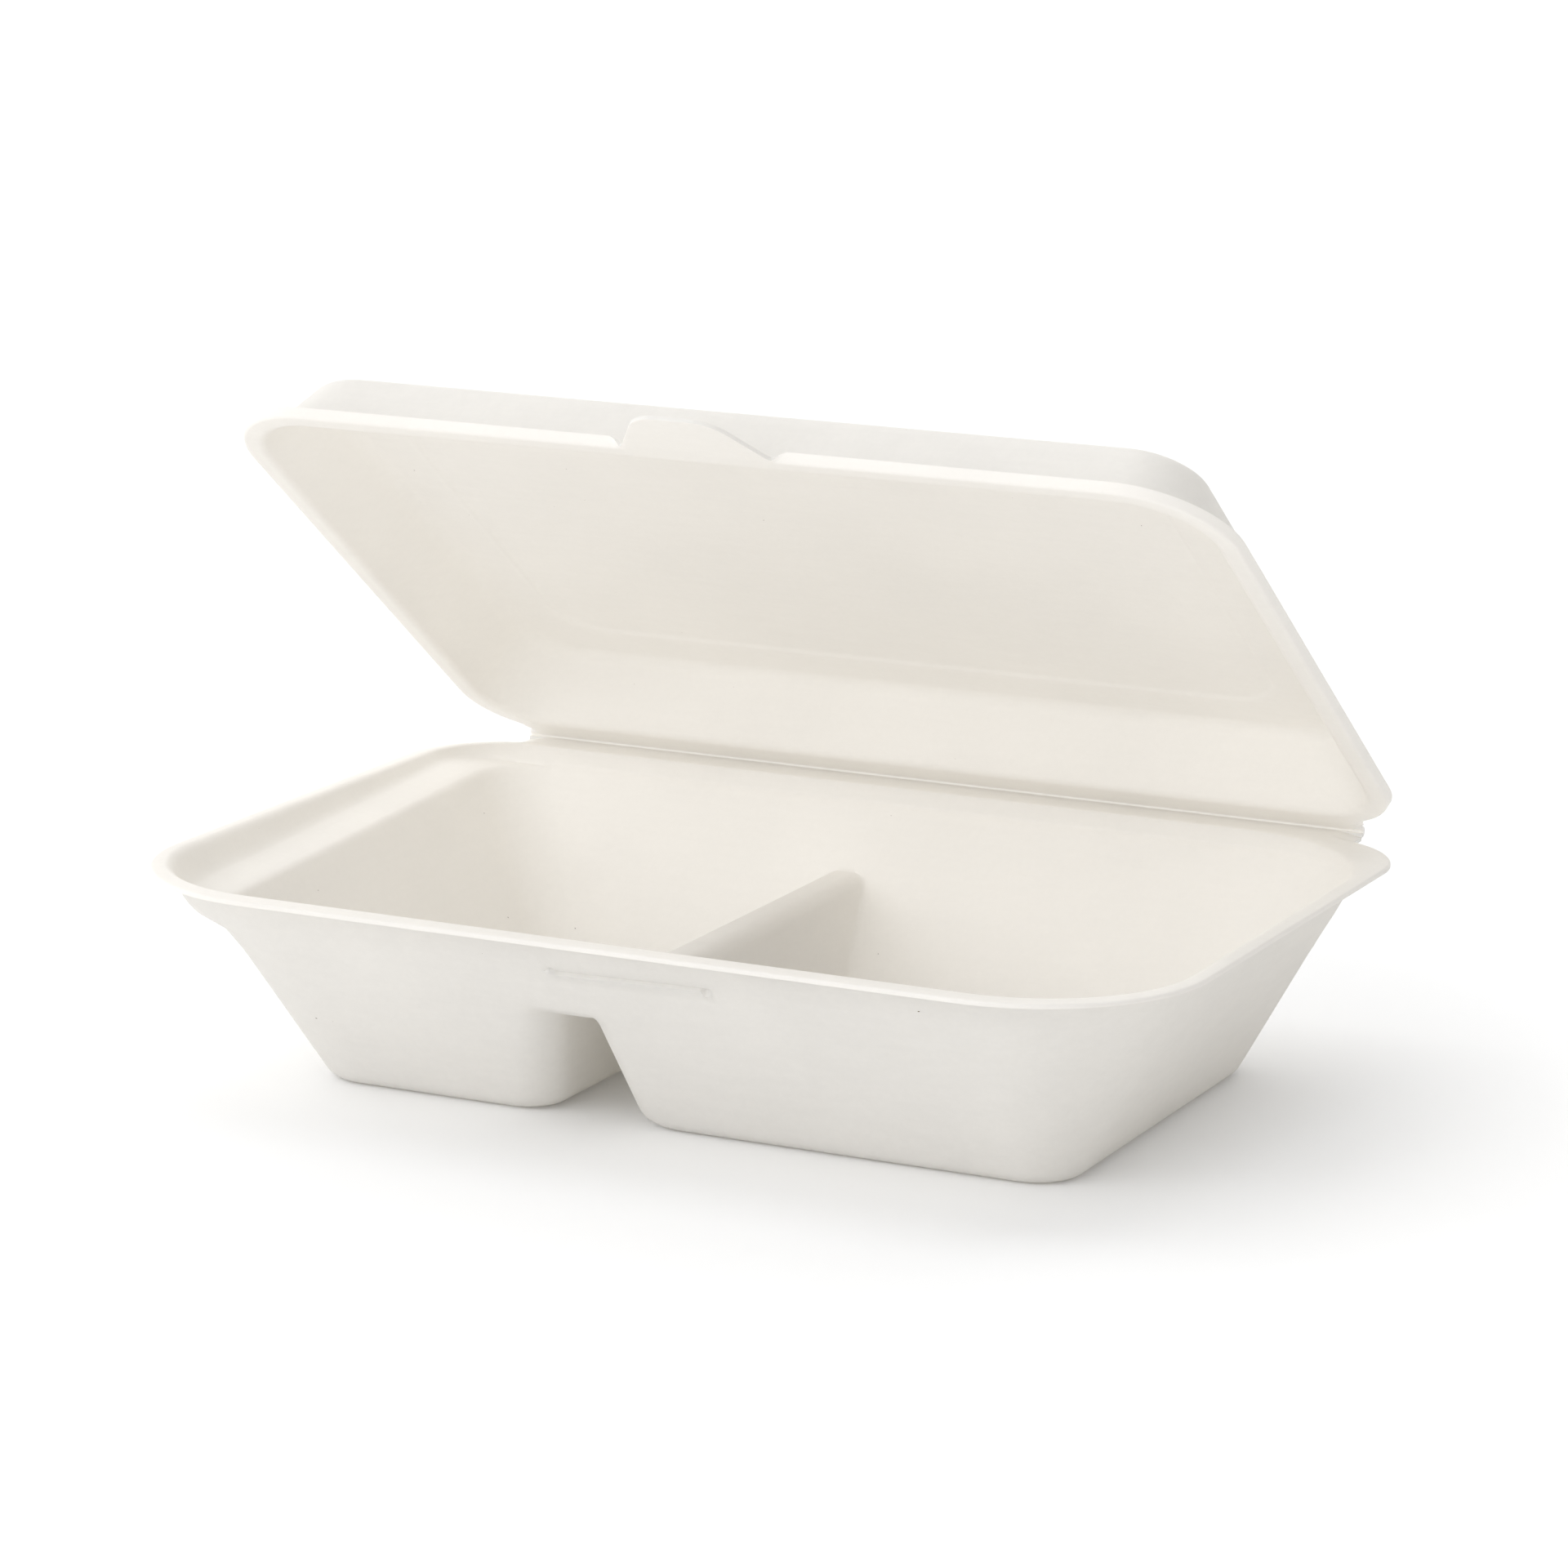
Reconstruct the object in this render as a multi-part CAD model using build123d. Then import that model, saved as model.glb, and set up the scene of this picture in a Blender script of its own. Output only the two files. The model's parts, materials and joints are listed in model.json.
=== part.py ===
from build123d import *
from math import acos, atan, atan2, cos, degrees, sin, sqrt, tan
import os

# Sugarcane clamshell container, in millimetres.
# Everything is built with the rim's middle over x = 0, y = 0 and the feet at z = 0. The front is at -Y.
# At the end the whole is moved so that the origin is the middle of its box, on the resting plane.

# Sheet
wall = 0.9                      # thickness of the moulded sheet
join = 1.0                      # how far solids run into each other before they are fused

# Lip of the tray
rim_height = 47.5               # top of the lip
lip_side = 124.0                # from the middle to the left and right edges of the lip
lip_front = 88.0
lip_back = 82.5
lip_corner_front = 40.0
lip_corner_back = 24.0
lip_edge = 1.3                  # height of the lip's rounded edge
lip_width_front = 5.4           # from the top of the wall out to the lip's edge
lip_width_right = 3.3
lip_width_left = 3.5

# Walls of the tray, outside faces
front_slope = 0.55              # how far a wall leans out for each unit of height
back_slope = 0.55
right_slope = 0.52
left_slope = 0.62
foot_corner = 11.0              # plan corners at the resting plane
foot_corner_right_back = 17.0
rim_corner_front = 36.0         # plan corners at the rim
rim_corner_right_back = 37.0
rim_corner_left_back = 20.0
foot_edge = 4.0                 # inner radius where the walls meet the floor
foot_steps = 3                  # bands that make up this rounding

# Shelf along the left side, and the small step along the back that it runs into
shelf_below_rim = 6.9           # its inner edge, at the middle of the side
shelf_rise = 0.035              # it climbs towards the back
shelf_fall = 1.7                # from its outer edge to its inner edge
shelf_width = 9.5
step_lean_side = 2.6            # how far the step wall leans out between the shelf and the rim
step_lean_back = 0.4
step_inset_back = 1.2           # from the lip's back edge in to the top of the back wall
shelf_corner_front = 25.0
shelf_corner_back = 13.0

# Divider between the compartments, hollow underneath
channel_left = -24.0            # the channel's sides on the resting plane
channel_right = -4.5
channel_top_left = -17.5        # the channel's sides at its ceiling
channel_top_right = -9.5
channel_below_rim = 20.0        # from the rim down to the channel's ceiling
crest_radius = 4.0              # round over the divider's crest
crest_steps = 2                 # bands that make up this rounding
divider_corner_foot = 11.0      # where the divider meets the front and back walls, at the floor
divider_corner_crest = 1.6      # and at its crest

# Lock slit in the front wall
slit_length = 39.0
slit_middle = 4.5
slit_below_rim = 8.5
slit_width = 1.1

# Hinge
hinge_back = 90.5               # the crease
hinge_inset = 16.3              # from the lip's sides in to the ends of the hinge strip
hinge_gap = 0.15                # from the crease to each strip
notch_radius = 5.0

# Lid, in its own frame: s is the distance from the crease, n stands out of the closed lid
lid_inset_side = 5.0            # from the lip's edge in to the lid's edge
lid_inset_front = 14.0
lid_rear = 3.0                  # s of the flange's rear edge
lid_corner_front = 24.0
lid_corner_rear = 19.0
flange_width = 5.0
lid_depth = 18.0
lid_edge_rise = 3.2             # the flange's edge is turned up by this
lid_edge_lean = 1.0
dome_lean = 9.0                 # how far the walls lean in between flange and roof
roof_edge = 4.0                 # inner radius where the walls meet the roof
panel_inset = 14.0              # the roof's middle is raised a little inside this border
panel_rise = 0.5
panel_corner = 12.0

# Locking tongue
tongue_middle = 1.5
tongue_base = 35.0
tongue_tip = 16.0
tongue_length = 14.5
tongue_round = 6.0
tongue_relief = 3.0             # the turned-up edge stops this far from the tongue

# The lid stands open as it is used to show the food
lid_open = 36.5                 # degrees from closed


# Sizes that follow from those above
shelf_height = rim_height - shelf_below_rim
channel_height = rim_height - channel_below_rim
step_foot_left = lip_side - lip_width_left - step_lean_side
front_foot = lip_front - lip_width_front - front_slope * rim_height
right_foot = lip_side - lip_width_right - right_slope * rim_height
left_foot = step_foot_left - wall - shelf_width + wall * sqrt(1 + left_slope**2) - left_slope * shelf_height
step_height_back = shelf_height + shelf_fall + shelf_rise * lip_back
back_foot = lip_back - step_inset_back - back_slope * step_height_back
hinge_half = lip_side - hinge_inset
lid_side = lip_side - lid_inset_side
lid_front = hinge_back + lip_front - lid_inset_front


def reach(foot, slope, height, inset):
    """Reach of a leaning wall at a height, drawn in by an inset square to its face."""
    return foot + slope * height - inset * sqrt(1 + slope**2)


def wall_reach(foot, slope, height, inset):
    """Reach of a wall, drawn in further where it rounds into the floor."""
    radius = foot_edge + wall - inset
    turn = atan2(1, slope)
    rise = height - inset
    if rise >= radius * (1 - cos(turn)):
        return reach(foot, slope, height, inset)
    angle = acos(1 - rise / radius)
    return reach(foot, slope, inset, inset) - radius * tan(turn / 2) + radius * sin(angle)


def flank_reach(foot, slope, height, inset):
    """Reach of a side of the divider, rounded at the floor and over the crest."""
    radius = crest_radius - wall + inset
    turn = atan2(1, slope)
    crest = channel_height + inset
    if crest - height >= radius * (1 - cos(turn)):
        return wall_reach(foot, slope, height, inset)
    angle = acos(1 - (crest - height) / radius)
    return reach(foot, slope, crest, inset) + radius * tan(turn / 2) - radius * sin(angle)


def rounded_face(corners, radii):
    """A flat face through the corner points, each corner with its own radius."""
    return make_face(FilletPolyline(*corners, radius=radii, close=True))


def between(low, high, part):
    """The value at a part of the way from low to high."""
    return low + (high - low) * part


def plan_corners(height, inset):
    """Radii of the tray's plan corners at a height below the shelf, from the left front round to the left back."""
    to_rim = height / rim_height
    to_shelf = height / shelf_height
    return [
        between(foot_corner, shelf_corner_front, to_shelf) - inset,
        between(foot_corner, rim_corner_front, to_rim) - inset,
        between(foot_corner_right_back, rim_corner_right_back, to_rim) - inset,
        between(foot_corner, shelf_corner_back, to_shelf) - inset,
    ]


def section_heights(inset):
    """The heights of a compartment's sections: the floor's rounding, then the crest's."""
    steepest = atan2(1, (channel_top_left - channel_left) / channel_height)
    floor_radius = foot_edge + wall - inset
    over_radius = crest_radius - wall + inset
    heights = []
    for step in range(foot_steps + 1):
        heights.append(inset + floor_radius * (1 - cos(steepest * step / foot_steps)))
    for step in range(crest_steps, -1, -1):
        heights.append(channel_height + inset - over_radius * (1 - cos(steepest * step / crest_steps)))
    return heights


def compartment(inset, at_left):
    """One food compartment as a solid, from the floor up to the divider's crest."""
    sections = []
    for height in section_heights(inset):
        front = wall_reach(front_foot, front_slope, height, inset)
        back = wall_reach(back_foot, back_slope, height, inset)
        drawn_in = reach(front_foot, front_slope, height, inset) - front
        left_front, right_front, right_back, left_back = plan_corners(height, inset)
        part = height / (channel_height + inset)
        beside = between(divider_corner_foot, divider_corner_crest, part) - inset
        if at_left:
            lean = (channel_top_left - channel_left) / channel_height
            low_x = -wall_reach(left_foot, left_slope, height, inset)
            high_x = flank_reach(channel_left, lean, height, inset)
            radii = [left_front, beside, beside, left_back]
        else:
            lean = (channel_right - channel_top_right) / channel_height
            low_x = -flank_reach(-channel_right, lean, height, inset)
            high_x = wall_reach(right_foot, right_slope, height, inset)
            radii = [beside, right_front, right_back, beside]
        corners = [(low_x, -front, height), (high_x, -front, height), (high_x, back, height), (low_x, back, height)]
        sections.append(rounded_face(corners, [radius - drawn_in for radius in radii]))
    return loft(sections, ruled=True)


def level_section(height, rise, left, left_lean, back, back_lean, radii, inset):
    """One level of the tray, tilted by rise. Reaches and leans are those at the middle of the tray."""
    front_y = -reach(front_foot, front_slope, height, inset) / (1 + front_slope * rise)
    back_y = back / (1 - back_lean * rise)
    right = reach(right_foot, right_slope, height, inset)
    corners = []
    for x, lean, y in (
        (-left, -left_lean, front_y),
        (right, right_slope, front_y),
        (right, right_slope, back_y),
        (-left, -left_lean, back_y),
    ):
        corners.append((x + lean * rise * y, y, height + rise * y))
    return rounded_face(corners, radii)


def upper_tray(inset, top):
    """The tray above the divider's crest as a solid, with the shelf and the step."""
    base = channel_height + inset
    shelf = shelf_height - (wall - inset)
    ledge = shelf + shelf_fall
    at_rim = [rim_corner_front, rim_corner_front, rim_corner_right_back, rim_corner_left_back]
    at_rim = [radius - inset for radius in at_rim]

    def low(height, rise):
        left = reach(left_foot, left_slope, height, inset)
        back = reach(back_foot, back_slope, height, inset)
        corners = plan_corners(height, inset)
        return level_section(height, rise, left, left_slope, back, back_slope, corners, inset)

    ledge_left = step_foot_left - inset
    ledge_back = reach(back_foot, back_slope, ledge, inset)
    above = (top - ledge) / (rim_height - ledge)
    rim_left = ledge_left + step_lean_side * above
    rim_back = ledge_back / (1 - back_slope * shelf_rise) + step_lean_back * above
    sections = [
        low(base, 0),
        low(shelf, shelf_rise),
        level_section(ledge, shelf_rise, ledge_left, 0, ledge_back, back_slope, at_rim, inset),
        level_section(top, 0, rim_left, 0, rim_back, 0, at_rim, inset),
    ]
    return loft(sections, ruled=True)


def bowl(inset, top):
    """The space inside the tray, or with no inset its outside, as one solid."""
    return upper_tray(inset, top) + compartment(inset, True) + compartment(inset, False)


def with_strip(flange, strip_near, strip_far):
    """A flange joined to its hinge strip, the corner between them rounded to a notch."""
    depth = strip_far - strip_near
    strip = Pos(0, strip_near + depth / 2) * Rectangle(2 * hinge_half, depth)
    joined = flange + strip
    inner = [v for v in joined.vertices() if abs(abs(v.X) - hinge_half) < 0.01 and abs(v.Y - strip_far) > 0.01]
    return fillet(inner, notch_radius)


def lip_plan(shrink=0.0):
    """The outline of the tray's lip, drawn in all round by an amount."""
    side = lip_side - shrink
    front = -lip_front + shrink
    back = lip_back - shrink
    corners = [(-side, front), (side, front), (side, back), (-side, back)]
    at_front = lip_corner_front - shrink
    at_back = lip_corner_back - shrink
    return rounded_face(corners, [at_front, at_front, at_back, at_back])


def tray_rim():
    """The flat lip round the tray, its thicker edge, and the hinge strip behind it."""
    plan = with_strip(lip_plan(), 0, hinge_back - hinge_gap)
    sheet = Pos(0, 0, rim_height - wall) * extrude(plan, amount=wall)
    band = Pos(0, 0, rim_height - lip_edge) * extrude(lip_plan() - lip_plan(lip_edge), amount=lip_edge)
    return sheet + band


def lock_slit():
    """The cut in the front wall that the lid's tongue goes into."""
    height = rim_height - slit_below_rim
    wall_face = reach(front_foot, front_slope, height, 0)
    return Pos(slit_middle, -wall_face, height) * Box(slit_length, 10 * wall, slit_width)


def make_tray():
    body = tray_rim() + bowl(0, rim_height)
    return body - bowl(wall, rim_height + join) - lock_slit()


def lid_outline(shrink):
    """The outline of the lid's flange, drawn in all round by an amount."""
    side = lid_side - shrink
    front = -lid_front + shrink
    rear = -lid_rear - shrink
    corners = [(-side, front), (side, front), (side, rear), (-side, rear)]
    at_front = lid_corner_front - shrink
    at_rear = lid_corner_rear - shrink
    return rounded_face(corners, [at_front, at_front, at_rear, at_rear])


def tongue_plan():
    """The locking tongue, from inside the flange to its rounded tip."""
    base = -lid_front + lid_edge_lean + join
    tip = -lid_front - tongue_length
    corners = [
        (tongue_middle - tongue_base / 2, base),
        (tongue_middle - tongue_tip / 2, tip),
        (tongue_middle + tongue_tip / 2, tip),
        (tongue_middle + tongue_base / 2, base),
    ]
    return rounded_face(corners, [0, tongue_round, tongue_round, 0])


def trapezoid_gap(middle, half, y):
    """A gap cut in the turned-up edge, its two ends sloping up from the flange."""
    low = half
    high = half + lid_edge_rise
    corners = [
        (middle - low, 0),
        (middle + low, 0),
        (middle + high, lid_edge_rise + join),
        (middle - high, lid_edge_rise + join),
    ]
    profile = Plane.XZ * make_face(Polyline(*corners, close=True))
    return Pos(0, y, 0) * extrude(profile, amount=lid_corner_rear / 2, both=True)


def lid_flange():
    """The flat flange with its hinge strip and tongue, and the edge turned up round it."""
    plan = with_strip(lid_outline(lid_edge_lean), -lid_rear - flange_width, -hinge_gap) + tongue_plan()
    sheet = extrude(plan, amount=wall)
    lean = degrees(atan(lid_edge_lean / lid_edge_rise))
    outside = extrude(lid_outline(lid_edge_lean), amount=lid_edge_rise, taper=-lean)
    inside = extrude(lid_outline(lid_edge_lean + wall), amount=lid_edge_rise, taper=-lean)
    edge = outside - inside
    tongue_half = tongue_base / 2 + tongue_relief
    tongue_gap = trapezoid_gap(tongue_middle, tongue_half, -lid_front)
    strip_gap = trapezoid_gap(0, hinge_half - notch_radius, -lid_rear)
    return sheet + (edge - tongue_gap - strip_gap)


def roof_panel(inset):
    """The slightly raised middle of the roof."""
    border = flange_width + dome_lean + panel_inset + inset
    side = lid_side - border
    front = -lid_front + border
    rear = -lid_rear - border
    corners = [(-side, front), (side, front), (side, rear), (-side, rear)]
    base = Pos(0, 0, lid_depth - inset - join) * rounded_face(corners, panel_corner)
    return extrude(base, amount=join + panel_rise, taper=45)


def dome(inset):
    """The lid's dome as one solid, outside or inside the sheet."""
    lean = dome_lean / lid_depth
    below = join if inset > 0 else 0
    base = flange_width - wall + inset * sqrt(1 + lean**2) - lean * below
    height = lid_depth - inset
    solid = extrude(Pos(0, 0, -below) * lid_outline(base), amount=height + below, taper=degrees(atan(lean)))
    rim = solid.edges().filter_by_position(Axis.Z, height - 0.01, height + 0.01)
    solid = fillet(rim, roof_edge + wall - inset)
    return solid + roof_panel(inset)


def make_closed_lid():
    return lid_flange() + dome(0) - dome(wall)


def open_lid(closed):
    """The lid turned up about the crease to the angle that it stands at."""
    return Pos(0, hinge_back, rim_height) * Rot(-lid_open, 0, 0) * closed


tray = make_tray()
lid = open_lid(make_closed_lid())

# The origin: the middle of the box round the open container, on the resting plane
front_y = min(tray.bounding_box().min.Y, lid.bounding_box().min.Y)
back_y = max(tray.bounding_box().max.Y, lid.bounding_box().max.Y)
to_origin = Pos(0, -(front_y + back_y) / 2, 0)

os.makedirs("parts", exist_ok=True)
export_step(to_origin * tray, "parts/tray.step")
export_step(to_origin * lid, "parts/lid.step")
print("crease at y", hinge_back - (front_y + back_y) / 2, "z", rim_height)
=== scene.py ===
import json
import math

import bmesh
import bpy
import numpy as np
from bpy.props import FloatProperty, FloatVectorProperty, IntProperty, PointerProperty
from mathutils import Matrix, Vector

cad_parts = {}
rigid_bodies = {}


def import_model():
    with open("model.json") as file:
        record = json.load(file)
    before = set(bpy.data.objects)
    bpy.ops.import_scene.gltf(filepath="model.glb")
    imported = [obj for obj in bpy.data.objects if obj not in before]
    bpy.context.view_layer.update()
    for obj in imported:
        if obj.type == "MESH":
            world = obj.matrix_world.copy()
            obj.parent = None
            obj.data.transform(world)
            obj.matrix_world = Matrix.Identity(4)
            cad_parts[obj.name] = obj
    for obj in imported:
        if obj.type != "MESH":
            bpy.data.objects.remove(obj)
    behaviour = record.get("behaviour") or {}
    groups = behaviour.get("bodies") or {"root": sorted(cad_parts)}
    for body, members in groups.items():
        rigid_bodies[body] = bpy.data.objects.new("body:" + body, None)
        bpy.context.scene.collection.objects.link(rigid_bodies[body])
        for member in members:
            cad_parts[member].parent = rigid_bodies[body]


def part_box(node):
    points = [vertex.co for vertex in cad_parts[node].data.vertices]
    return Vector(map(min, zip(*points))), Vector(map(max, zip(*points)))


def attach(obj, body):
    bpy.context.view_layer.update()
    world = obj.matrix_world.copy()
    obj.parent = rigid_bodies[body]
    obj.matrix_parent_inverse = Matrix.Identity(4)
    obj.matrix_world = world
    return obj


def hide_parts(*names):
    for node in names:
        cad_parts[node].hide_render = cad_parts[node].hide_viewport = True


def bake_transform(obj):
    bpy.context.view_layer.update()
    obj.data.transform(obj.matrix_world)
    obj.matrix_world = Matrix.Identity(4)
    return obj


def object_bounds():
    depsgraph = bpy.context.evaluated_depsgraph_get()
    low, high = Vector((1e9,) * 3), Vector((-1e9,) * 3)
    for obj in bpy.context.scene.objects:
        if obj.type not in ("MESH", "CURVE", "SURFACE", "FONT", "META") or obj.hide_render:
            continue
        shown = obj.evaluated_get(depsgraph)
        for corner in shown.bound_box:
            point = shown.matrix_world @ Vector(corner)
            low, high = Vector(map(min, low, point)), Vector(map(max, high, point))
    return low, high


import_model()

bl_info = {
    "name": "Sugarcane clamshell container",
    "version": (1, 0, 0),
    "blender": (4, 5, 0),
    "location": "View3D > Sidebar > Clamshell",
    "description": "Two-compartment moulded fibre food container with a hinged lid",
    "category": "Object",
}

MM = 0.001
CAD_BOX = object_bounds()
TRAY_LOW, TRAY_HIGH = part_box("tray")
# From the crease to each hinge strip of the solid model.
HINGE_GAP = 0.15 * MM
CREASE_Y = TRAY_HIGH[1] + HINGE_GAP
RIM_HEIGHT = TRAY_HIGH[2]
LIP_SIDE = TRAY_HIGH[0]
LIP_FRONT_Y = TRAY_LOW[1]
# Within this distance of the crease an edge belongs to the bend, not to the trimmed edge.
CREASE_ZONE = 2.0 * MM
# Flat left between the patch of the floor and the rounding at the foot of a wall.
FOOT_FLAT = 0.6 * MM
# In the lid's frame, its front side lies before the first and its rear side behind the second.
LID_FRONT_ZONE = -130 * MM
LID_REAR_ZONE = -30 * MM
# The camera's target, from the middle of the tray's rim and the resting plane.
TARGET = (1.96 * MM, 3.68 * MM, 64.55 * MM)
# Direction round the object, height and angular width of each light, in degrees.
LIGHTS = {"rear": (-150, 45, 90), "side": (-60, 35, 60), "front": (-15, 20, 60)}


def length(name, description, default):
    """A length in metres."""
    return FloatProperty(name=name, description=description, default=default, unit="LENGTH", precision=5)


def ratio(name, description, default):
    """A plain number."""
    return FloatProperty(name=name, description=description, default=default, subtype="FACTOR")


def colour(name, description, default):
    """A colour as the material shows it."""
    return FloatVectorProperty(
        name=name, description=description, default=default, size=3, min=0, max=1, subtype="COLOR")


def degrees(name, description, default):
    """An angle, with its default in degrees."""
    return FloatProperty(name=name, description=description, default=math.radians(default), subtype="ANGLE")


class SheetSizes(bpy.types.PropertyGroup):
    """The moulded sheet that everything is made of."""

    thickness: length("Thickness", "Thickness of the moulded sheet", 0.9 * MM)
    edge_round: length("Edge rounding", "Rounding of the trimmed edges", 0.22 * MM)
    web_reach: length("Crease strip", "Width of the bending strip on each side of the crease", 1.5 * MM)
    bend_ease: length("Crease rounding", "How far from the crease the sheet starts to bend", 0.9 * MM)
    notch_radius: length("Notch radius", "Rounding between the hinge strip and the corners beside it", 5 * MM)
    hinge_half: length("Half hinge", "Half the length of the hinge strip", 107.7 * MM)


class TraySizes(bpy.types.PropertyGroup):
    """The lower half. Heights are from the resting plane, reaches from the middle of the rim."""

    hinge_back: length("Crease", "From the middle of the rim back to the crease", 90.5 * MM)
    lip_back: length("Lip back", "Reach of the lip at the back", 82.5 * MM)
    lip_corner_front: length("Lip corner, front", "Plan radius of the lip's front corners", 40 * MM)
    lip_corner_back: length("Lip corner, back", "Plan radius of the lip's back corners", 24 * MM)
    lip_edge: length("Lip edge", "Height of the lip's turned edge", 1 * MM)
    lip_bend: length("Lip bend", "Radius of the bend of the lip's turned edge", 0.6 * MM)
    front_foot: length("Front foot", "Reach of the front wall on the resting plane", 56.5 * MM)
    back_foot: length("Back foot", "Reach of the back wall on the resting plane", 56.45 * MM)
    right_foot: length("Right foot", "Reach of the right wall on the resting plane", 96 * MM)
    left_foot: length("Left foot", "Reach of the left wall on the resting plane", 83.4 * MM)
    front_slope: ratio("Front slope", "How far the front and back walls lean out per unit of height", 0.55)
    right_slope: ratio("Right slope", "How far the right wall leans out per unit of height", 0.52)
    left_slope: ratio("Left slope", "How far the left wall leans out per unit of height", 0.62)
    foot_corner: length("Foot corner", "Plan radius of the corners at the floor", 10.1 * MM)
    foot_corner_far: length("Foot corner, right back", "Plan radius of that corner at the floor", 16.1 * MM)
    floor_ease: length("Floor rounding", "Length of the round between floor and wall", 2.4 * MM)
    shelf_height: length("Shelf height", "Height of the shelf's inner edge at mid-side", 40.6 * MM)
    shelf_rise: ratio("Shelf rise", "How much the shelf climbs towards the back", 0.035)
    shelf_fall: length("Shelf fall", "From the shelf's outer edge down to its inner edge", 1.7 * MM)
    shelf_width: length("Shelf width", "Width of the shelf", 9.5 * MM)
    step_lean: length("Step lean", "How far the step leans out between the shelf and the rim", 2.6 * MM)
    divider_floor_left: length("Divider, left foot", "Where the channel under the divider starts", -24 * MM)
    divider_floor_right: length("Divider, right foot", "Where the channel under the divider ends", -4.5 * MM)
    divider_top_left: length("Divider, left top", "Left side of the channel at its ceiling", -17.5 * MM)
    divider_top_right: length("Divider, right top", "Right side of the channel at its ceiling", -9.5 * MM)
    divider_height: length("Divider height", "Height of the channel under the divider", 27.5 * MM)
    divider_corner: length(
        "Divider corner, back", "Radius at the floor, where the divider meets the back wall", 10.5 * MM)
    divider_mouth: length("Divider corner, front", "Radius where the divider meets the front wall", 7.8 * MM)
    slit_length: length("Slit length", "Length of the lock slit in the front wall", 38.3 * MM)
    slit_middle: length("Slit middle", "Middle of the lock slit", 5.2 * MM)
    slit_height: length("Slit height", "Height of the lock slit above the resting plane", 39 * MM)
    slit_width: length("Slit width", "Height of the pressed band that the lock slit is cut in", 1.1 * MM)
    slit_gap: length("Slit gap", "Width of the cut itself, at the top of the band", 0.16 * MM)
    slit_curl: length(
        "Slit curl", "How far the band's lower edge stands out and its upper edge stands in", 0.75 * MM)
    slit_rise: ratio("Slit rise", "How much the slit climbs towards the right", 0.022)


class LidSizes(bpy.types.PropertyGroup):
    """The upper half, in its own frame: s from the crease, n out of the closed lid."""

    side: length("Side", "Reach of the flange at the sides", 119 * MM)
    rear: length("Rear", "From the crease to the flange's rear edge", 3 * MM)
    front: length("Front", "From the crease to the flange's front edge", 164.5 * MM)
    corner_front: length("Front corner", "Plan radius of the flange's front corners", 23.5 * MM)
    corner_rear: length("Rear corner", "Plan radius of the flange's rear corners", 19 * MM)
    flange: length("Flange", "Width of the flange", 5 * MM)
    depth: length("Depth", "Height of the dome", 18 * MM)
    edge_rise: length("Edge rise", "Height of the turned-up edge", 2.4 * MM)
    edge_lean: length("Edge lean", "How far the turned-up edge leans out", 1 * MM)
    inset_side: length("Side lean", "How far the side walls lean in up to the roof", 9.3 * MM)
    inset_front: length("Front lean", "How far the front wall leans in up to the roof", 9 * MM)
    inset_rear: length("Rear lean", "How far the rear wall leans in up to the roof", 7 * MM)
    roof_corner: length("Roof corner", "Plan radius of the roof's corners", 12.5 * MM)
    panel_inset: length("Panel border", "Width of the border round the raised roof panel", 14 * MM)
    panel_rise: length("Panel rise", "How far the roof panel is raised", 0.5 * MM)
    tongue_middle: length("Tongue middle", "Middle of the locking tongue", 1.5 * MM)
    tongue_base: length("Tongue base", "Width of the tongue at the flange", 35 * MM)
    tongue_tip: length("Tongue tip", "Width of the tongue at its tip", 18 * MM)
    tongue_length: length("Tongue length", "How far the tongue stands out", 14.5 * MM)
    tongue_round: length("Tongue rounding", "Radius of the tongue's tip", 9 * MM)
    tongue_relief: length("Tongue relief", "Flat edge on each side of the tongue", 0.9 * MM)
    open_angle: degrees("Opening", "Angle between the tray's rim and the lid", 36.5)


class FibreLook(bpy.types.PropertyGroup):
    """The moulded fibre."""

    inside: colour("Inside", "Colour of the side that faces the food", (0.98, 0.962, 0.935))
    outside: colour("Outside", "Colour of the outer side", (0.93, 0.932, 0.938))
    glow: ratio("Light in, inside", "Share of the light that goes into the sheet on the food side", 0.25)
    outer_glow: ratio("Light in, outside", "The same share on the outer side", 0.5)
    glow_tint: colour("Light through, tint", "Colour of the light that passes through", (1.0, 0.98, 0.93))
    mottle: ratio("Mottle", "Strength of the colour variation", 0.25)
    grain: ratio("Grain", "Strength of the fine surface grain", 0.18)
    roughness: ratio("Roughness", "Roughness of the surface", 0.78)
    fleck_density: FloatProperty(
        name="Flecks", description="Dark flecks for each square metre of sheet", default=500)
    fleck_size: length("Fleck size", "Length of the largest flecks", 0.55 * MM)
    seed: IntProperty(name="Seed", description="Seed for the places of the flecks", default=4)


class StudioSettings(bpy.types.PropertyGroup):
    """Camera and light."""

    azimuth: degrees("Azimuth", "Direction of the camera round the object", 25.46)
    elevation: degrees("Elevation", "Height of the camera", 12.86)
    roll: degrees("Roll", "Turn of the camera about its axis", 0.77)
    distance: length("Distance", "From the camera to its target", 1243.43 * MM)
    lens: ratio("Lens", "Focal length in millimetres for a 36 mm sensor", 128.48)
    rear: ratio("Rear light", "Strength of the wide light from the back left", 1.6)
    side: ratio("Side light", "Strength of the light from the left", 0.7)
    front: ratio("Front light", "Strength of the light from the front", 1)
    sky: ratio("Sky", "Strength of the even light", 0.52)
    floor_half: length("Floor", "From the object to the edge of the floor", 12)
    floor_shade: ratio("Floor shade", "Share of the light that the floor gives back", 0.95)
    seen_shade: ratio("Seen shade", "The same share, where the camera sees the floor", 0.98)
    seen_lift: ratio("Seen lift", "Light that the floor adds, where the camera sees it", 0.02)


def smooth(t):
    """A smooth step from 0 to 1."""
    t = np.clip(t, 0, 1)
    return t * t * (3 - 2 * t)


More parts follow.
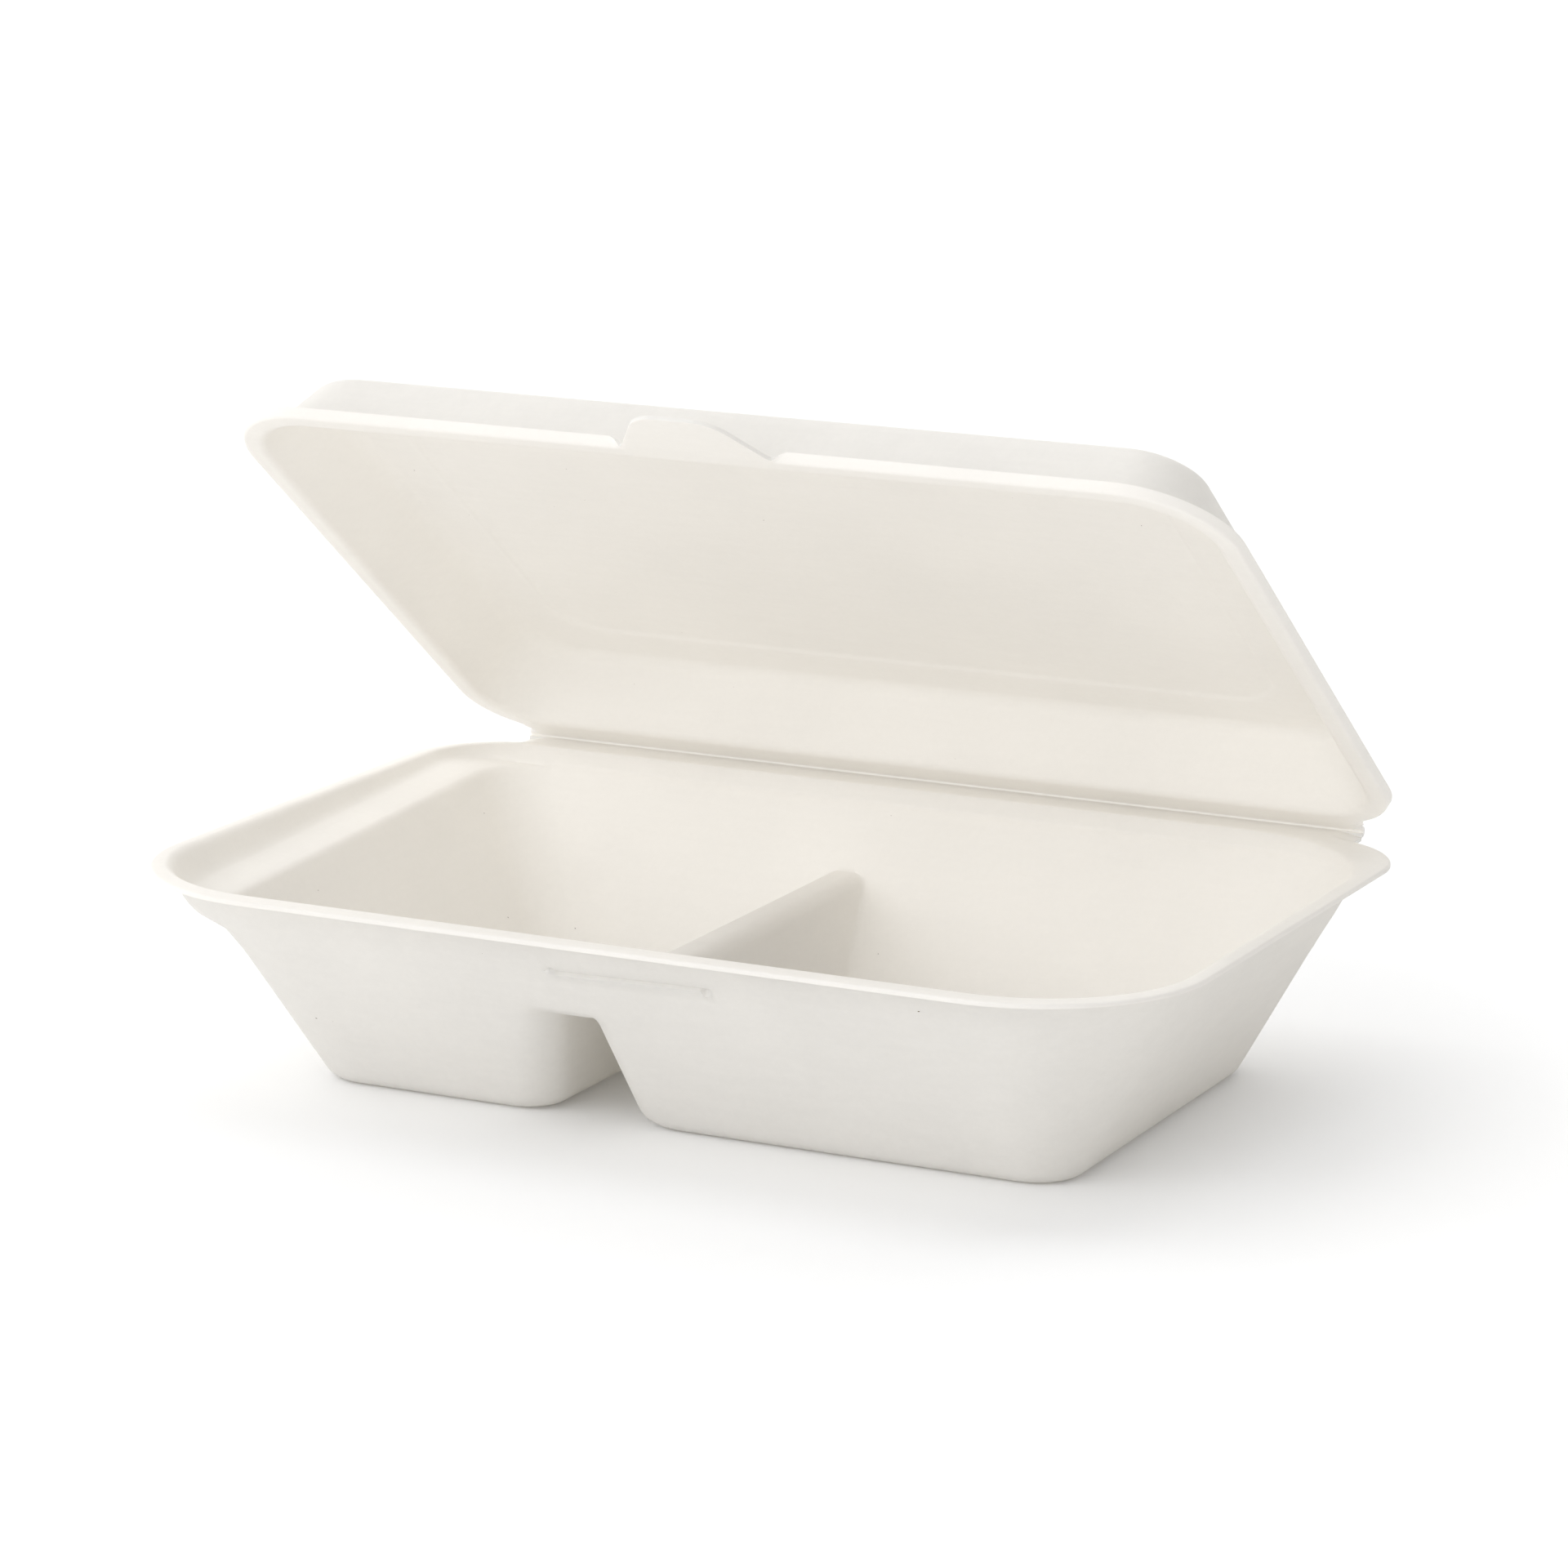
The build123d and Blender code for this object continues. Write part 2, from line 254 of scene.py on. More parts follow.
def lean_length(slope):
    """Length along a leaning wall for each unit of height."""
    return math.sqrt(1 + slope**2)


def profile_weights(corners, eases, arcs, straights):
    """Rows of weights that turn values at a profile's corners into values at its stations.

    Each inner corner is rounded by an arc whose tangents are eases long. arcs and straights say
    how many steps each rounding and each straight between them takes.
    """
    corners = np.asarray(corners, float)
    count = len(corners)
    unit = np.eye(count)
    rows = [unit[0]]
    for i in range(1, count - 1):
        before = corners[i - 1] - corners[i]
        after = corners[i + 1] - corners[i]
        share_before = eases[i - 1] / np.linalg.norm(before)
        share_after = eases[i - 1] / np.linalg.norm(after)
        start = unit[i] * (1 - share_before) + unit[i - 1] * share_before
        end = unit[i] * (1 - share_after) + unit[i + 1] * share_after
        cosine = -before @ after / (np.linalg.norm(before) * np.linalg.norm(after))
        weight = math.cos(math.acos(max(-1.0, min(1.0, cosine))) / 2)
        last = rows[-1]
        for step in range(1, straights[i - 1] + 1):
            rows.append(last + (start - last) * step / straights[i - 1])
        for step in range(1, arcs[i - 1] + 1):
            t = step / arcs[i - 1]
            middle = 2 * weight * t * (1 - t)
            total = (1 - t) ** 2 + middle + t**2
            rows.append(((1 - t) ** 2 * start + middle * unit[i] + t**2 * end) / total)
    last = rows[-1]
    for step in range(1, straights[-1] + 1):
        rows.append(last + (unit[-1] - last) * step / straights[-1])
    return np.array(rows)


def corner_radii(weights, values):
    """Radii of the four corners at every station, each from the profiles of the two sides that it joins."""
    values = np.asarray(values, float)
    return np.stack([(weights[i - 1] + weights[i]) @ values[:, i] / 2 for i in range(4)], axis=1)


def corner_arc(before, corner, after, radius, steps):
    """Points along the rounding of a corner, from tangent point to tangent point."""
    into = (corner - before) / np.linalg.norm(corner - before)
    out = (after - corner) / np.linalg.norm(after - corner)
    turn = math.atan2(into[0] * out[1] - into[1] * out[0], into @ out)
    start = corner - into * radius * math.tan(abs(turn) / 2)
    side = math.copysign(1, turn)
    centre = start + radius * side * np.array([-into[1], into[0]])
    arm = start - centre
    angles = turn * np.arange(steps + 1) / steps
    cosines, sines = np.cos(angles), np.sin(angles)
    return centre + np.stack([arm[0] * cosines - arm[1] * sines, arm[0] * sines + arm[1] * cosines], axis=1)


def rounded_path(points, radii, steps):
    """An open path with its inner corners rounded."""
    points = np.asarray(points, float)
    path = [points[:1]]
    for i in range(1, len(points) - 1):
        path.append(corner_arc(points[i - 1], points[i], points[i + 1], radii[i - 1], steps))
    path.append(points[-1:])
    return np.concatenate(path)


def spread(path, count):
    """count + 1 points at equal distances along a path."""
    gaps = np.linalg.norm(np.diff(path, axis=0), axis=1)
    along = np.concatenate([[0], np.cumsum(gaps)])
    wanted = np.linspace(0, along[-1], count + 1)
    return np.stack([np.interp(wanted, along, path[:, i]) for i in range(path.shape[1])], axis=1)


def patch(bottom, top, left, right, power=1):
    """Points of a four-sided patch between its borders, as rows from bottom to top."""
    across = np.linspace(0, 1, len(bottom))
    if power > 1:
        across = (bottom[:, 0] - bottom[0, 0]) / (bottom[-1, 0] - bottom[0, 0])
    up = (left[:, 1] - left[0, 1]) / (left[-1, 1] - left[0, 1])
    u = across[None, :, None]
    v = up[:, None, None]
    ruled = (1 - v) * bottom[None] + v * top[None]
    bulge_left = left[:, None] - ((1 - v) * left[0] + v * left[-1])
    bulge_right = right[:, None] - ((1 - v) * right[0] + v * right[-1])
    return ruled + (1 - u) ** power * bulge_left + u**power * bulge_right


class Rings:
    """Closed rings of points round a rounded rectangle, all with the same number of points.

    A ring starts in the middle of the front left corner and runs anticlockwise, seen from above.
    """

    half_arc = 10
    fill = 6
    crowding = 0.11

    def __init__(self, columns, rows):
        self.columns = np.asarray(columns)
        self.rows = rows
        self.across = 2 * self.half_arc + 2 * self.fill + len(self.columns) - 1
        self.along = 2 * self.half_arc + rows
        self.count = 2 * (self.across + self.along)

    def lay(self, corners, radii):
        """Points of one ring, and for each point its shares of the front, right, back and left sides."""
        half = self.half_arc
        arcs = []
        for i in range(4):
            arcs.append(corner_arc(corners[i - 1], corners[i], corners[(i + 1) % 4], radii[i], 2 * half))
        points = []
        shares = []
        for side in range(4):
            start = arcs[side]
            end = arcs[(side + 1) % 4]
            if side in (0, 2):
                columns = self.columns if side == 0 else self.columns[::-1]
                x = np.concatenate([
                    np.linspace(start[-1, 0], columns[0], self.fill + 1)[1:],
                    columns[1:-1],
                    np.linspace(columns[-1], end[0, 0], self.fill + 1)[:-1],
                ])
                t = (x - start[-1, 0]) / (end[0, 0] - start[-1, 0])
            else:
                t = np.arange(1, self.rows) / self.rows
                t = t - self.crowding * np.sin(2 * math.pi * t)
            straight = start[-1] + (end[0] - start[-1]) * t[:, None]
            points += [start[half:], straight, end[:half]]
            leaving = smooth(0.5 + np.arange(half + 1) / (2 * half))
            arriving = smooth(np.arange(half) / (2 * half))
            here = np.concatenate([leaving, np.ones(len(straight)), 1 - arriving])
            share = np.zeros((len(here), 4))
            share[:, side] = here
            share[: half + 1, side - 1] = 1 - leaving
            share[-half:, (side + 1) % 4] = arriving
            shares.append(share)
        return np.concatenate(points), np.concatenate(shares)

    def sides(self, ring):
        """A ring's points as the four borders of a patch: front, back, left and right."""
        closed = np.concatenate([ring, ring[:1]])
        a, b = self.across, self.along
        front = closed[: a + 1]
        right = closed[a : a + b + 1]
        back = closed[a + b : 2 * a + b + 1][::-1]
        left = closed[2 * a + b :][::-1]
        return front, back, left, right

    def numbers(self, ring):
        """Vertex numbers of a patch with the given ring as its border, and -1 for points still to add."""
        a, b = self.across, self.along
        index = np.full((b + 1, a + 1), -1)
        ring = np.append(ring, ring[0])
        index[0] = ring[: a + 1]
        index[:, -1] = ring[a : a + b + 1]
        index[-1] = ring[a + b : 2 * a + b + 1][::-1]
        index[:, 0] = ring[2 * a + b :][::-1]
        return index


def outward(ring):
    """Unit vectors that point out of a ring, in plan."""
    along = np.roll(ring[:, :2], -1, axis=0) - np.roll(ring[:, :2], 1, axis=0)
    along /= np.linalg.norm(along, axis=1)[:, None]
    return np.stack([along[:, 1], -along[:, 0]], axis=1)


def turned_edge(ring, mask, radius, height, lean, direction, flat_share, steps=6, straight_steps=1):
    """Rings of an edge that turns up or down out of a ring. Where mask is 0 it runs on flat instead."""
    turn = math.pi / 2 - math.atan2(lean, height)
    angles = turn * np.arange(1, steps + 1) / steps
    out = radius * np.sin(angles)
    up = radius * (1 - np.cos(angles))
    flat = radius * angles
    rest = (height - up[-1]) / math.sin(turn)
    for step in range(1, straight_steps + 1):
        part = rest * step / straight_steps
        out = np.append(out, radius * math.sin(turn) + part * math.cos(turn))
        up = np.append(up, radius * (1 - math.cos(turn)) + part * math.sin(turn))
        flat = np.append(flat, radius * turn + part)
    normals = outward(ring)
    rings = []
    for i in range(len(out)):
        reach = mask * out[i] + (1 - mask) * flat[i] * flat_share
        plan = ring[:, :2] + normals * reach[:, None]
        rings.append(np.column_stack([plan, ring[:, 2] + direction * mask * up[i]]))
    return rings


class Sheet:
    """Points and faces of a sheet, put together from patches."""

    def __init__(self):
        self.points = []
        self.faces = []
        self.count = 0

    def add(self, points):
        """Adds a grid of points and returns the grid of their numbers."""
        points = np.asarray(points)
        numbers = self.count + np.arange(points.size // 3).reshape(points.shape[:-1])
        self.points.append(points.reshape(-1, 3))
        self.count += numbers.size
        return numbers

    def cover(self, index, flip=False, keep=None):
        """Adds quads over a grid of vertex numbers."""
        if flip:
            index = index[:, ::-1]
            keep = None if keep is None else keep[:, ::-1]
        quads = np.stack([index[:-1, :-1], index[:-1, 1:], index[1:, 1:], index[1:, :-1]], axis=-1)
        self.faces.append(quads[keep] if keep is not None else quads.reshape(-1, 4))

    def mesh(self, name):
        """The sheet as a mesh, without points that no face uses."""
        points = np.concatenate(self.points)
        faces = np.concatenate(self.faces)
        used = np.unique(faces)
        renumber = np.full(len(points), -1)
        renumber[used] = np.arange(len(used))
        data = bpy.data.meshes.new(name)
        data.from_pydata(points[used].tolist(), [], renumber[faces].tolist())
        data.validate()
        return data


def notch_sides(ring_start, ring_end, centre, radius, half, fillet, end_y, count):
    """The two ends of a hinge strip, each from the ring, round the notch and on to the strip's end."""
    x = half + fillet
    rise = math.sqrt((radius + fillet) ** 2 - (x - centre[0]) ** 2)
    up = math.copysign(1, end_y - centre[1])
    middle = np.array([x, centre[1] + up * rise])
    out = (middle - centre) * radius / (radius + fillet) + centre
    first = math.atan2((out - middle)[1] * up, (out - middle)[0])
    first = first if first > 0 else first + 2 * math.pi
    angles = np.linspace(first, math.pi, 16)
    arc = middle + fillet * np.stack([np.cos(angles), up * np.sin(angles)], axis=1)
    right = np.concatenate([arc, [[half, end_y]]])
    left = right * [-1, 1]
    right[0], left[0] = ring_start, ring_end
    return spread(right, count), spread(left, count)


def rim_middle_y(t):
    """Y of the middle of the tray's rim."""
    return CREASE_Y - t.hinge_back


def tray_profiles(t, sheet):
    """Corner values of the front, right, back and left profiles: reach, height, lean and tilt."""
    floor = sheet.thickness
    rim = RIM_HEIGHT
    low_wall = 30.0 * MM
    shelf = t.shelf_height
    ledge = shelf + t.shelf_fall
    # How far the tilt has moved the shelf's level where it meets the front and the back wall.
    tilt_front = t.shelf_rise * 75 * MM
    tilt_back = t.shelf_rise * 79 * MM
    front_shelf = shelf - 3.1 * MM
    front_ledge = 40.5 * MM + tilt_front
    right_shelf = shelf - 2 * MM
    step_low = 42.3 * MM - tilt_back
    step_high = 43.3 * MM - tilt_back
    step_foot = 78.3 * MM
    step_top = 80.4 * MM
    step_slope = 0.4

    def wall(foot, slope, heights, lip):
        reaches = [foot + slope * z - sheet.thickness * lean_length(slope) for z in heights]
        start = reaches[0] - (t.floor_ease + FOOT_FLAT)
        between = [[reach, z, slope] for reach, z in zip(reaches, heights)]
        return [[start, heights[0], 0], *between, [lip - t.lip_bend, rim, 0]]

    front_lip = rim_middle_y(t) - LIP_FRONT_Y
    front = wall(t.front_foot, t.front_slope, [floor, low_wall, front_shelf, front_ledge, rim], front_lip)
    right = wall(t.right_foot, t.right_slope, [floor, low_wall, right_shelf, ledge, rim], LIP_SIDE)
    back = wall(t.back_foot, t.front_slope, [floor, low_wall, step_low, step_high, rim], t.lip_back)
    back[4][0] = step_foot
    back[5][0] = step_top
    left = wall(t.left_foot, t.left_slope, [floor, low_wall, shelf, ledge, rim], LIP_SIDE)
    left[4][0] = left[3][0] + t.shelf_width + sheet.thickness
    left[4][2] = step_slope
    left[5][0] = left[4][0] + t.step_lean
    tilt = np.array([0, 0, 0, 1, 1, 0, 0]) * t.shelf_rise
    return [np.column_stack([side, tilt]) for side in (front, right, back, left)]


def ridge_profile(t, sheet):
    """The divider's upper side across the tray: its rounded left and right halves as x and height."""
    grow = sheet.thickness
    top = t.divider_height + grow
    floor = sheet.thickness
    floor_run = 8 * MM
    foot_ease = 3.85 * MM
    crest_ease = 3.3 * MM
    halves = []
    for foot, crest, side in (
        (t.divider_floor_left, t.divider_top_left, -1),
        (t.divider_floor_right, t.divider_top_right, 1),
    ):
        lean = (crest - foot) / t.divider_height
        shift = side * grow * lean_length(lean)
        at_floor = foot + lean * floor + shift
        at_top = foot + lean * top + shift
        centre = (t.divider_top_left + t.divider_top_right) / 2
        corners = [[at_floor + side * floor_run, floor], [at_floor, floor], [at_top, top], [centre, top]]
        weights = profile_weights(corners, [foot_ease, crest_ease], [7, 7], [2, 16, 1])
        halves.append(weights @ np.array(corners))
    return halves


def rectangle_distance(x, y, low_x, high_x, low_y, high_y, radii):
    """Signed distance to a rectangle that has its own radius at each corner."""
    middle_x, middle_y = (low_x + high_x) / 2, (low_y + high_y) / 2
    front = np.where(x < middle_x, radii[0], radii[1])
    back = np.where(x < middle_x, radii[3], radii[2])
    radius = np.where(y < middle_y, front, back)
    across = np.abs(x - middle_x) - (high_x - low_x) / 2 + radius
    along = np.abs(y - middle_y) - (high_y - low_y) / 2 + radius
    outside = np.hypot(np.maximum(across, 0), np.maximum(along, 0))
    return np.minimum(np.maximum(across, along), 0) + outside - radius


def pocket_height(x, y, sides, radii, ridge, t, top):
    """Height of the sheet's upper side at plan points below the shelf, by halving the interval."""
    halvings = 34
    heights = sides[0][:, 1]
    crest = ridge[0][-1, 1]
    floor = heights[0]
    low = np.full(x.shape, floor)
    high = np.full(x.shape, top)

    def at(values, z, own_heights=heights):
        return np.interp(z, own_heights, values)

    for _ in range(halvings):
        z = (low + high) / 2
        front, right, back, left = (at(side[:, 0], z) for side in sides)
        corners = [at(radii[:, i], z) for i in range(4)]
        beside = t.divider_corner * np.clip((crest - z) / (crest - floor), 0, 1)
        mouth = t.divider_mouth
        ridge_left = at(ridge[0][:, 0], z, ridge[0][:, 1])
        ridge_right = at(ridge[1][:, 0], z, ridge[1][:, 1])
        whole = rectangle_distance(x, y, -left, right, -front, back, corners)
        small_corners = [corners[0], mouth, beside, corners[3]]
        large_corners = [mouth, corners[1], corners[2], beside]
        small = rectangle_distance(x, y, -left, ridge_left, -front, back, small_corners)
        large = rectangle_distance(x, y, ridge_right, right, -front, back, large_corners)
        inside = np.where(z < crest, np.minimum(small, large), whole) <= 0
        high = np.where(inside, z, high)
        low = np.where(inside, low, z)
    return high


def tray_sheet(t, sheet):
    """The tray's upper side, from the floor out to the lip and back to the crease, as a mesh."""
    sides = tray_profiles(t, sheet)
    # Tangent lengths of the roundings, then the steps in each rounding and in each straight beside it.
    plain = [t.floor_ease, 0.8 * MM, 1.5 * MM, 1.6 * MM, 1.5 * MM]
    at_back = [t.floor_ease, 0.8 * MM, 0.6 * MM, 0.7 * MM, 0.8 * MM]
    arcs = [7, 1, 5, 5, 6]
    straights = [1, 18, 4, 3, 2, 2]
    weights = [
        profile_weights(side[:, :2], eases, arcs, straights)
        for side, eases in zip(sides, (plain, plain, at_back, plain))
    ]
    profiles = [w @ side for w, side in zip(weights, sides)]
    inner = sheet.thickness
    foot = t.foot_corner
    at_foot = foot - t.floor_ease - FOOT_FLAT
    # Plan radii at the front left, front right, back right and back left corners, from the floor up.
    at_low_wall = np.array([22, 26.5, 29, 11.5]) * MM
    at_shelf = np.array([24.5, 29.5, 32.5, 13]) * MM - [inner, 0, 0, 0]
    at_ledge = np.array([33, 32.5, 34.5, 16]) * MM - [inner, 0, 0, 0]
    at_rim = np.array([36, 36, 37, 20]) * MM - inner
    at_lip = [t.lip_corner_front - t.lip_bend] * 2 + [t.lip_corner_back - t.lip_bend] * 2
    at_wall_foot = [foot, foot, t.foot_corner_far, foot - 2 * MM]
    radii = corner_radii(
        weights, [[at_foot] * 4, at_wall_foot, at_low_wall, at_shelf, at_ledge, at_rim, at_lip])
    low_stations = straights[0] + arcs[0] + straights[1] + arcs[1]

    ridge = ridge_profile(t, sheet)
    half_columns = [half[:, 0] for half in ridge]
    dense = np.concatenate([half_columns[0], half_columns[1][::-1][1:]])
    slit_start = t.slit_middle - t.slit_length / 2
    slit_end = t.slit_middle + t.slit_length / 2
    # The front and back walls' columns lie close at the divider and at the slit's ends.
    nearest = 0.15 * MM
    columns = np.concatenate([
        np.arange(-66, -40, 3.0) * MM, np.arange(-39, -33.6, 1.1) * MM, dense,
        np.arange(4.6, 20, 1.3) * MM, np.linspace(slit_end - 4 * MM, slit_end + 1.5 * MM, 12),
        np.arange(28, 79, 3.0) * MM,
    ])
    columns = np.sort(columns)
    columns = columns[np.append(True, np.diff(columns) > nearest)]
    rings = Rings(columns, 30)
    laid = []
    for k in range(len(radii)):
        front, right, back, left = levels = [profile[k] for profile in profiles]
        front_y = -front[0] / (1 + front[2] * front[3])
        back_y = back[0] / (1 - back[2] * back[3])
        corners = np.array([
            [-(left[0] + left[2] * left[3] * front_y), front_y],
            [right[0] + right[2] * right[3] * front_y, front_y],
            [right[0] + right[2] * right[3] * back_y, back_y],
            [-(left[0] + left[2] * left[3] * back_y), back_y],
        ])
        plan, shares = rings.lay(corners, radii[k])
        height = shares @ np.array(levels)[:, 1] + shares @ np.array(levels)[:, 3] * plan[:, 1]
        laid.append(np.column_stack([plan, height]))

    low_sides = [profile[: low_stations + 1] for profile in profiles]
    low_radii = radii[: low_stations + 1]
    top = profiles[0][low_stations, 1]

    def settle(points):
        points[:, 2] = pocket_height(points[:, 0], points[:, 1], low_sides, low_radii, ridge, t, top)

    for ring in laid[: low_stations + 1]:
        settle(ring)
    front, back, left, right = rings.sides(laid[0][:, :2])
    floor = patch(front, back, left, right, power=4)
    within = floor[1:-1, 1:-1]
    inside = np.column_stack([within.reshape(-1, 2), np.zeros(within.shape[0] * within.shape[1])])
    settle(inside)

    slit_row, slit_quads = open_slit(laid, rings, t, slit_start, slit_end)

    lip = laid[-1]
    back_zone = 50 * MM
    edge_start = 105 * MM
    edge_fade = 7 * MM
    behind = smooth((np.abs(lip[:, 0]) - edge_start) / edge_fade)
    mask = np.where(lip[:, 1] > back_zone, behind, 1)
    laid += turned_edge(lip, mask, t.lip_bend, t.lip_edge, 0, -1, 0.5)

    made = Sheet()
    index = made.add(laid)
    keep = np.ones((len(laid) - 1, rings.count), bool)
    keep[slit_row, slit_quads] = False
    made.cover(np.column_stack([index, index[:, 0]]), flip=True, keep=keep)
    centre = rings.numbers(index[0])
    centre[1:-1, 1:-1] = made.add(inside.reshape(*within.shape[:2], 3))
    made.cover(centre)

    outer = laid[-1]
    strip_end = t.hinge_back - sheet.web_reach
    corner_centre = (LIP_SIDE - t.lip_corner_back, t.lip_back - t.lip_corner_back)
    hinge_strip(made, outer, index[-1], corner_centre, strip_end, sheet)
    for points in made.points:
        points[:, 1] += rim_middle_y(t)
    return made.mesh("tray_sheet")


def open_slit(laid, rings, t, start, end):
    """Presses the slit's band into three rings and returns the row and the quads to cut out."""
    beside_slit = 4 * MM
    fade = 3 * MM
    end_run = 0.6 * MM
    end_fade = 1.0 * MM
    tick_length = 2.0 * MM
    tick_drop = 0.7 * MM
    middle = rings.half_arc + rings.fill + np.searchsorted(rings.columns, t.slit_middle)
    heights = np.array([ring[middle, 2] for ring in laid])
    low = int(np.argmin(np.abs(heights - (t.slit_height - t.slit_width / 2))))
    front = np.arange(rings.half_arc + 1, rings.across - rings.half_arc)
    x = laid[low][front, 0]
    near = smooth((x - start + beside_slit) / fade) * smooth((end + beside_slit - x) / fade)
    within = smooth((x - start + end_run) / end_fade) * smooth((end + end_run - x) / end_fade)
    bottom = t.slit_height - t.slit_width / 2 + t.slit_rise * (x - t.slit_middle)
    tick = smooth((x - end + tick_length) / end_fade) * within
    levels = (bottom - tick_drop * tick, bottom + t.slit_width - t.slit_gap, bottom + t.slit_width)
    for number, wanted, curl in zip((low, low + 1, low + 2), levels, (1, -1, 0)):
        ring = laid[number]
        move = near * (wanted - ring[front, 2])
        ring[front, 2] += move
        ring[front, 1] -= move * t.front_slope + within * curl * t.slit_curl
    x = laid[low][:, 0]
    centres = (x + np.roll(x, -1)) / 2
    beside = np.zeros(rings.count, bool)
    beside[front[:-1]] = (centres[front[:-1]] > start) & (centres[front[:-1]] < end)
    return low + 1, beside


def hinge_strip(made, outer, numbers, centre, end_y, sheet, flip=True):
    """Adds the strip between an outermost ring and the crease, its two ends rounded into notches.

    centre is the middle of the ring's right back corner in plan.
    """
    centre_x, centre_y = centre
    centre = np.array(centre)
    into_corner = 2.5 * MM
    x = sheet.hinge_half + sheet.notch_radius
    behind = np.where(outer[:, 1] > centre_y)[0]
    right = behind[outer[behind, 0] > 0]
    left = behind[outer[behind, 0] < 0]
    radius = np.linalg.norm(outer[right, :2] - centre, axis=1)
    radius = radius[np.argmin(np.abs(outer[right, 0] - sheet.hinge_half - into_corner))]
    tangent_x = centre_x + (x - centre_x) * radius / (radius + sheet.notch_radius)
    first = right[np.argmin(np.abs(outer[right, 0] - tangent_x))]
    last = left[np.argmin(np.abs(outer[left, 0] + tangent_x))]
    segment = np.arange(first, last + 1)
    rows = 8
    ends = notch_sides(
        outer[first, :2], outer[last, :2], centre, radius, sheet.hinge_half, sheet.notch_radius, end_y, rows)
    bottom = outer[segment, :2]
    shares = (bottom[:, 0] - bottom[0, 0]) / (bottom[-1, 0] - bottom[0, 0])
    top = np.column_stack([sheet.hinge_half * (1 - 2 * shares), np.full(len(shares), end_y)])
    plan = patch(bottom, top, ends[0], ends[1], power=3)
    height = outer[segment, 2][None] * np.ones((rows + 1, 1))
    points = np.concatenate([plan, height[..., None]], axis=2)
    made.cover(np.vstack([numbers[segment], made.add(points[1:])]), flip=flip)


def lid_sheet(l, sheet):
    """The lid's food side in its own frame, with Y towards the crease and Z out of the closed lid."""
    inner = sheet.thickness
    opening = l.flange - inner
    height = l.depth - inner
    # The bend carries the foot of the turned edge in by edge_shift.
    edge_shift = 0.3 * MM
    edge_bend = 0.8 * MM
    edge_reach = l.edge_lean + edge_shift
    panel_flat = 1.5 * MM
    panel_slope = 1.2 * MM

    def side(outer, lean):
        wall = inner * lean_length(lean / l.depth)
        base = outer - opening - wall
        roof = base - lean * height / l.depth
        panel = roof - l.panel_inset
        return np.array([
            [panel - panel_flat, height + l.panel_rise],
            [panel, height + l.panel_rise],
            [panel + panel_slope, height],
            [roof, height],
            [base, 0],
            [outer - edge_reach, 0],
        ])

    beside = side(l.side, l.inset_side)
    profiles = [side(l.front, l.inset_front), beside, side(-l.rear, l.inset_rear), beside]
    eases = [0.5 * MM, 0.5 * MM, 2.8 * MM, 1.4 * MM]
    arcs = [2, 2, 8, 6]
    straights = [1, 1, 4, 8, 3]
    weights = [profile_weights(profile, eases, arcs, straights) for profile in profiles]
    stations = [w @ profile for w, profile in zip(weights, profiles)]
    low_front = l.corner_front - opening - inner
    low_rear = l.corner_rear - opening - inner
    panel = 12 * MM
    radii = corner_radii(weights, [
        [panel] * 4,
        [panel] * 4,
        [panel + 1 * MM] * 4,
        [l.roof_corner] * 4,
        [low_front] * 2 + [low_rear] * 2,
        [l.corner_front - edge_reach] * 2 + [l.corner_rear - edge_reach] * 2,
    ])
    # The columns lie close at the tongue.
    columns = [np.arange(-72, -26, 4.0), np.arange(-24, 27.5, 1.5), np.arange(30, 76, 4.0)]
    columns = np.concatenate(columns) * MM
    rings = Rings(columns, 36)
    laid = []
    for k in range(len(radii)):
        front, right, back, left = (station[k] for station in stations)
        low_x, high_x, low_y, high_y = -left[0], right[0], -front[0], back[0]
        corners = np.array([[low_x, low_y], [high_x, low_y], [high_x, high_y], [low_x, high_y]])
        plan, shares = rings.lay(corners, radii[k])
        laid.append(np.column_stack([plan, shares @ np.array([front[1], right[1], back[1], left[1]])]))

    flange = laid[-1]
    x = flange[:, 0]
    beside_strip = smooth((np.abs(x) - sheet.hinge_half + 1 * MM) / (5 * MM))
    beside_tongue = smooth((np.abs(x - l.tongue_middle) - l.tongue_base / 2 - l.tongue_relief) / (1.8 * MM))
    mask = np.where(flange[:, 1] > LID_REAR_ZONE, beside_strip, 1)
    mask = np.where(flange[:, 1] < LID_FRONT_ZONE, beside_tongue, mask)
    laid += turned_edge(
        flange, mask, edge_bend, l.edge_rise, l.edge_lean - edge_shift, 1, 0.45, straight_steps=3)

    made = Sheet()
    index = made.add(laid)
    made.cover(np.column_stack([index, index[:, 0]]))
    front, back, left, right = rings.sides(laid[0][:, :2])
    roof = patch(front, back, left, right)[1:-1, 1:-1]
    centre = rings.numbers(index[0])
    level = np.full((*roof.shape[:2], 1), height + l.panel_rise)
    centre[1:-1, 1:-1] = made.add(np.concatenate([roof, level], axis=2))
    made.cover(centre, flip=True)

    outer = laid[-1]
    corner_centre = (l.side - l.corner_rear, -l.rear - l.corner_rear)
    hinge_strip(made, outer, index[-1], corner_centre, -sheet.web_reach, sheet, flip=False)
    tongue(made, outer, index[-1], l)
    return made


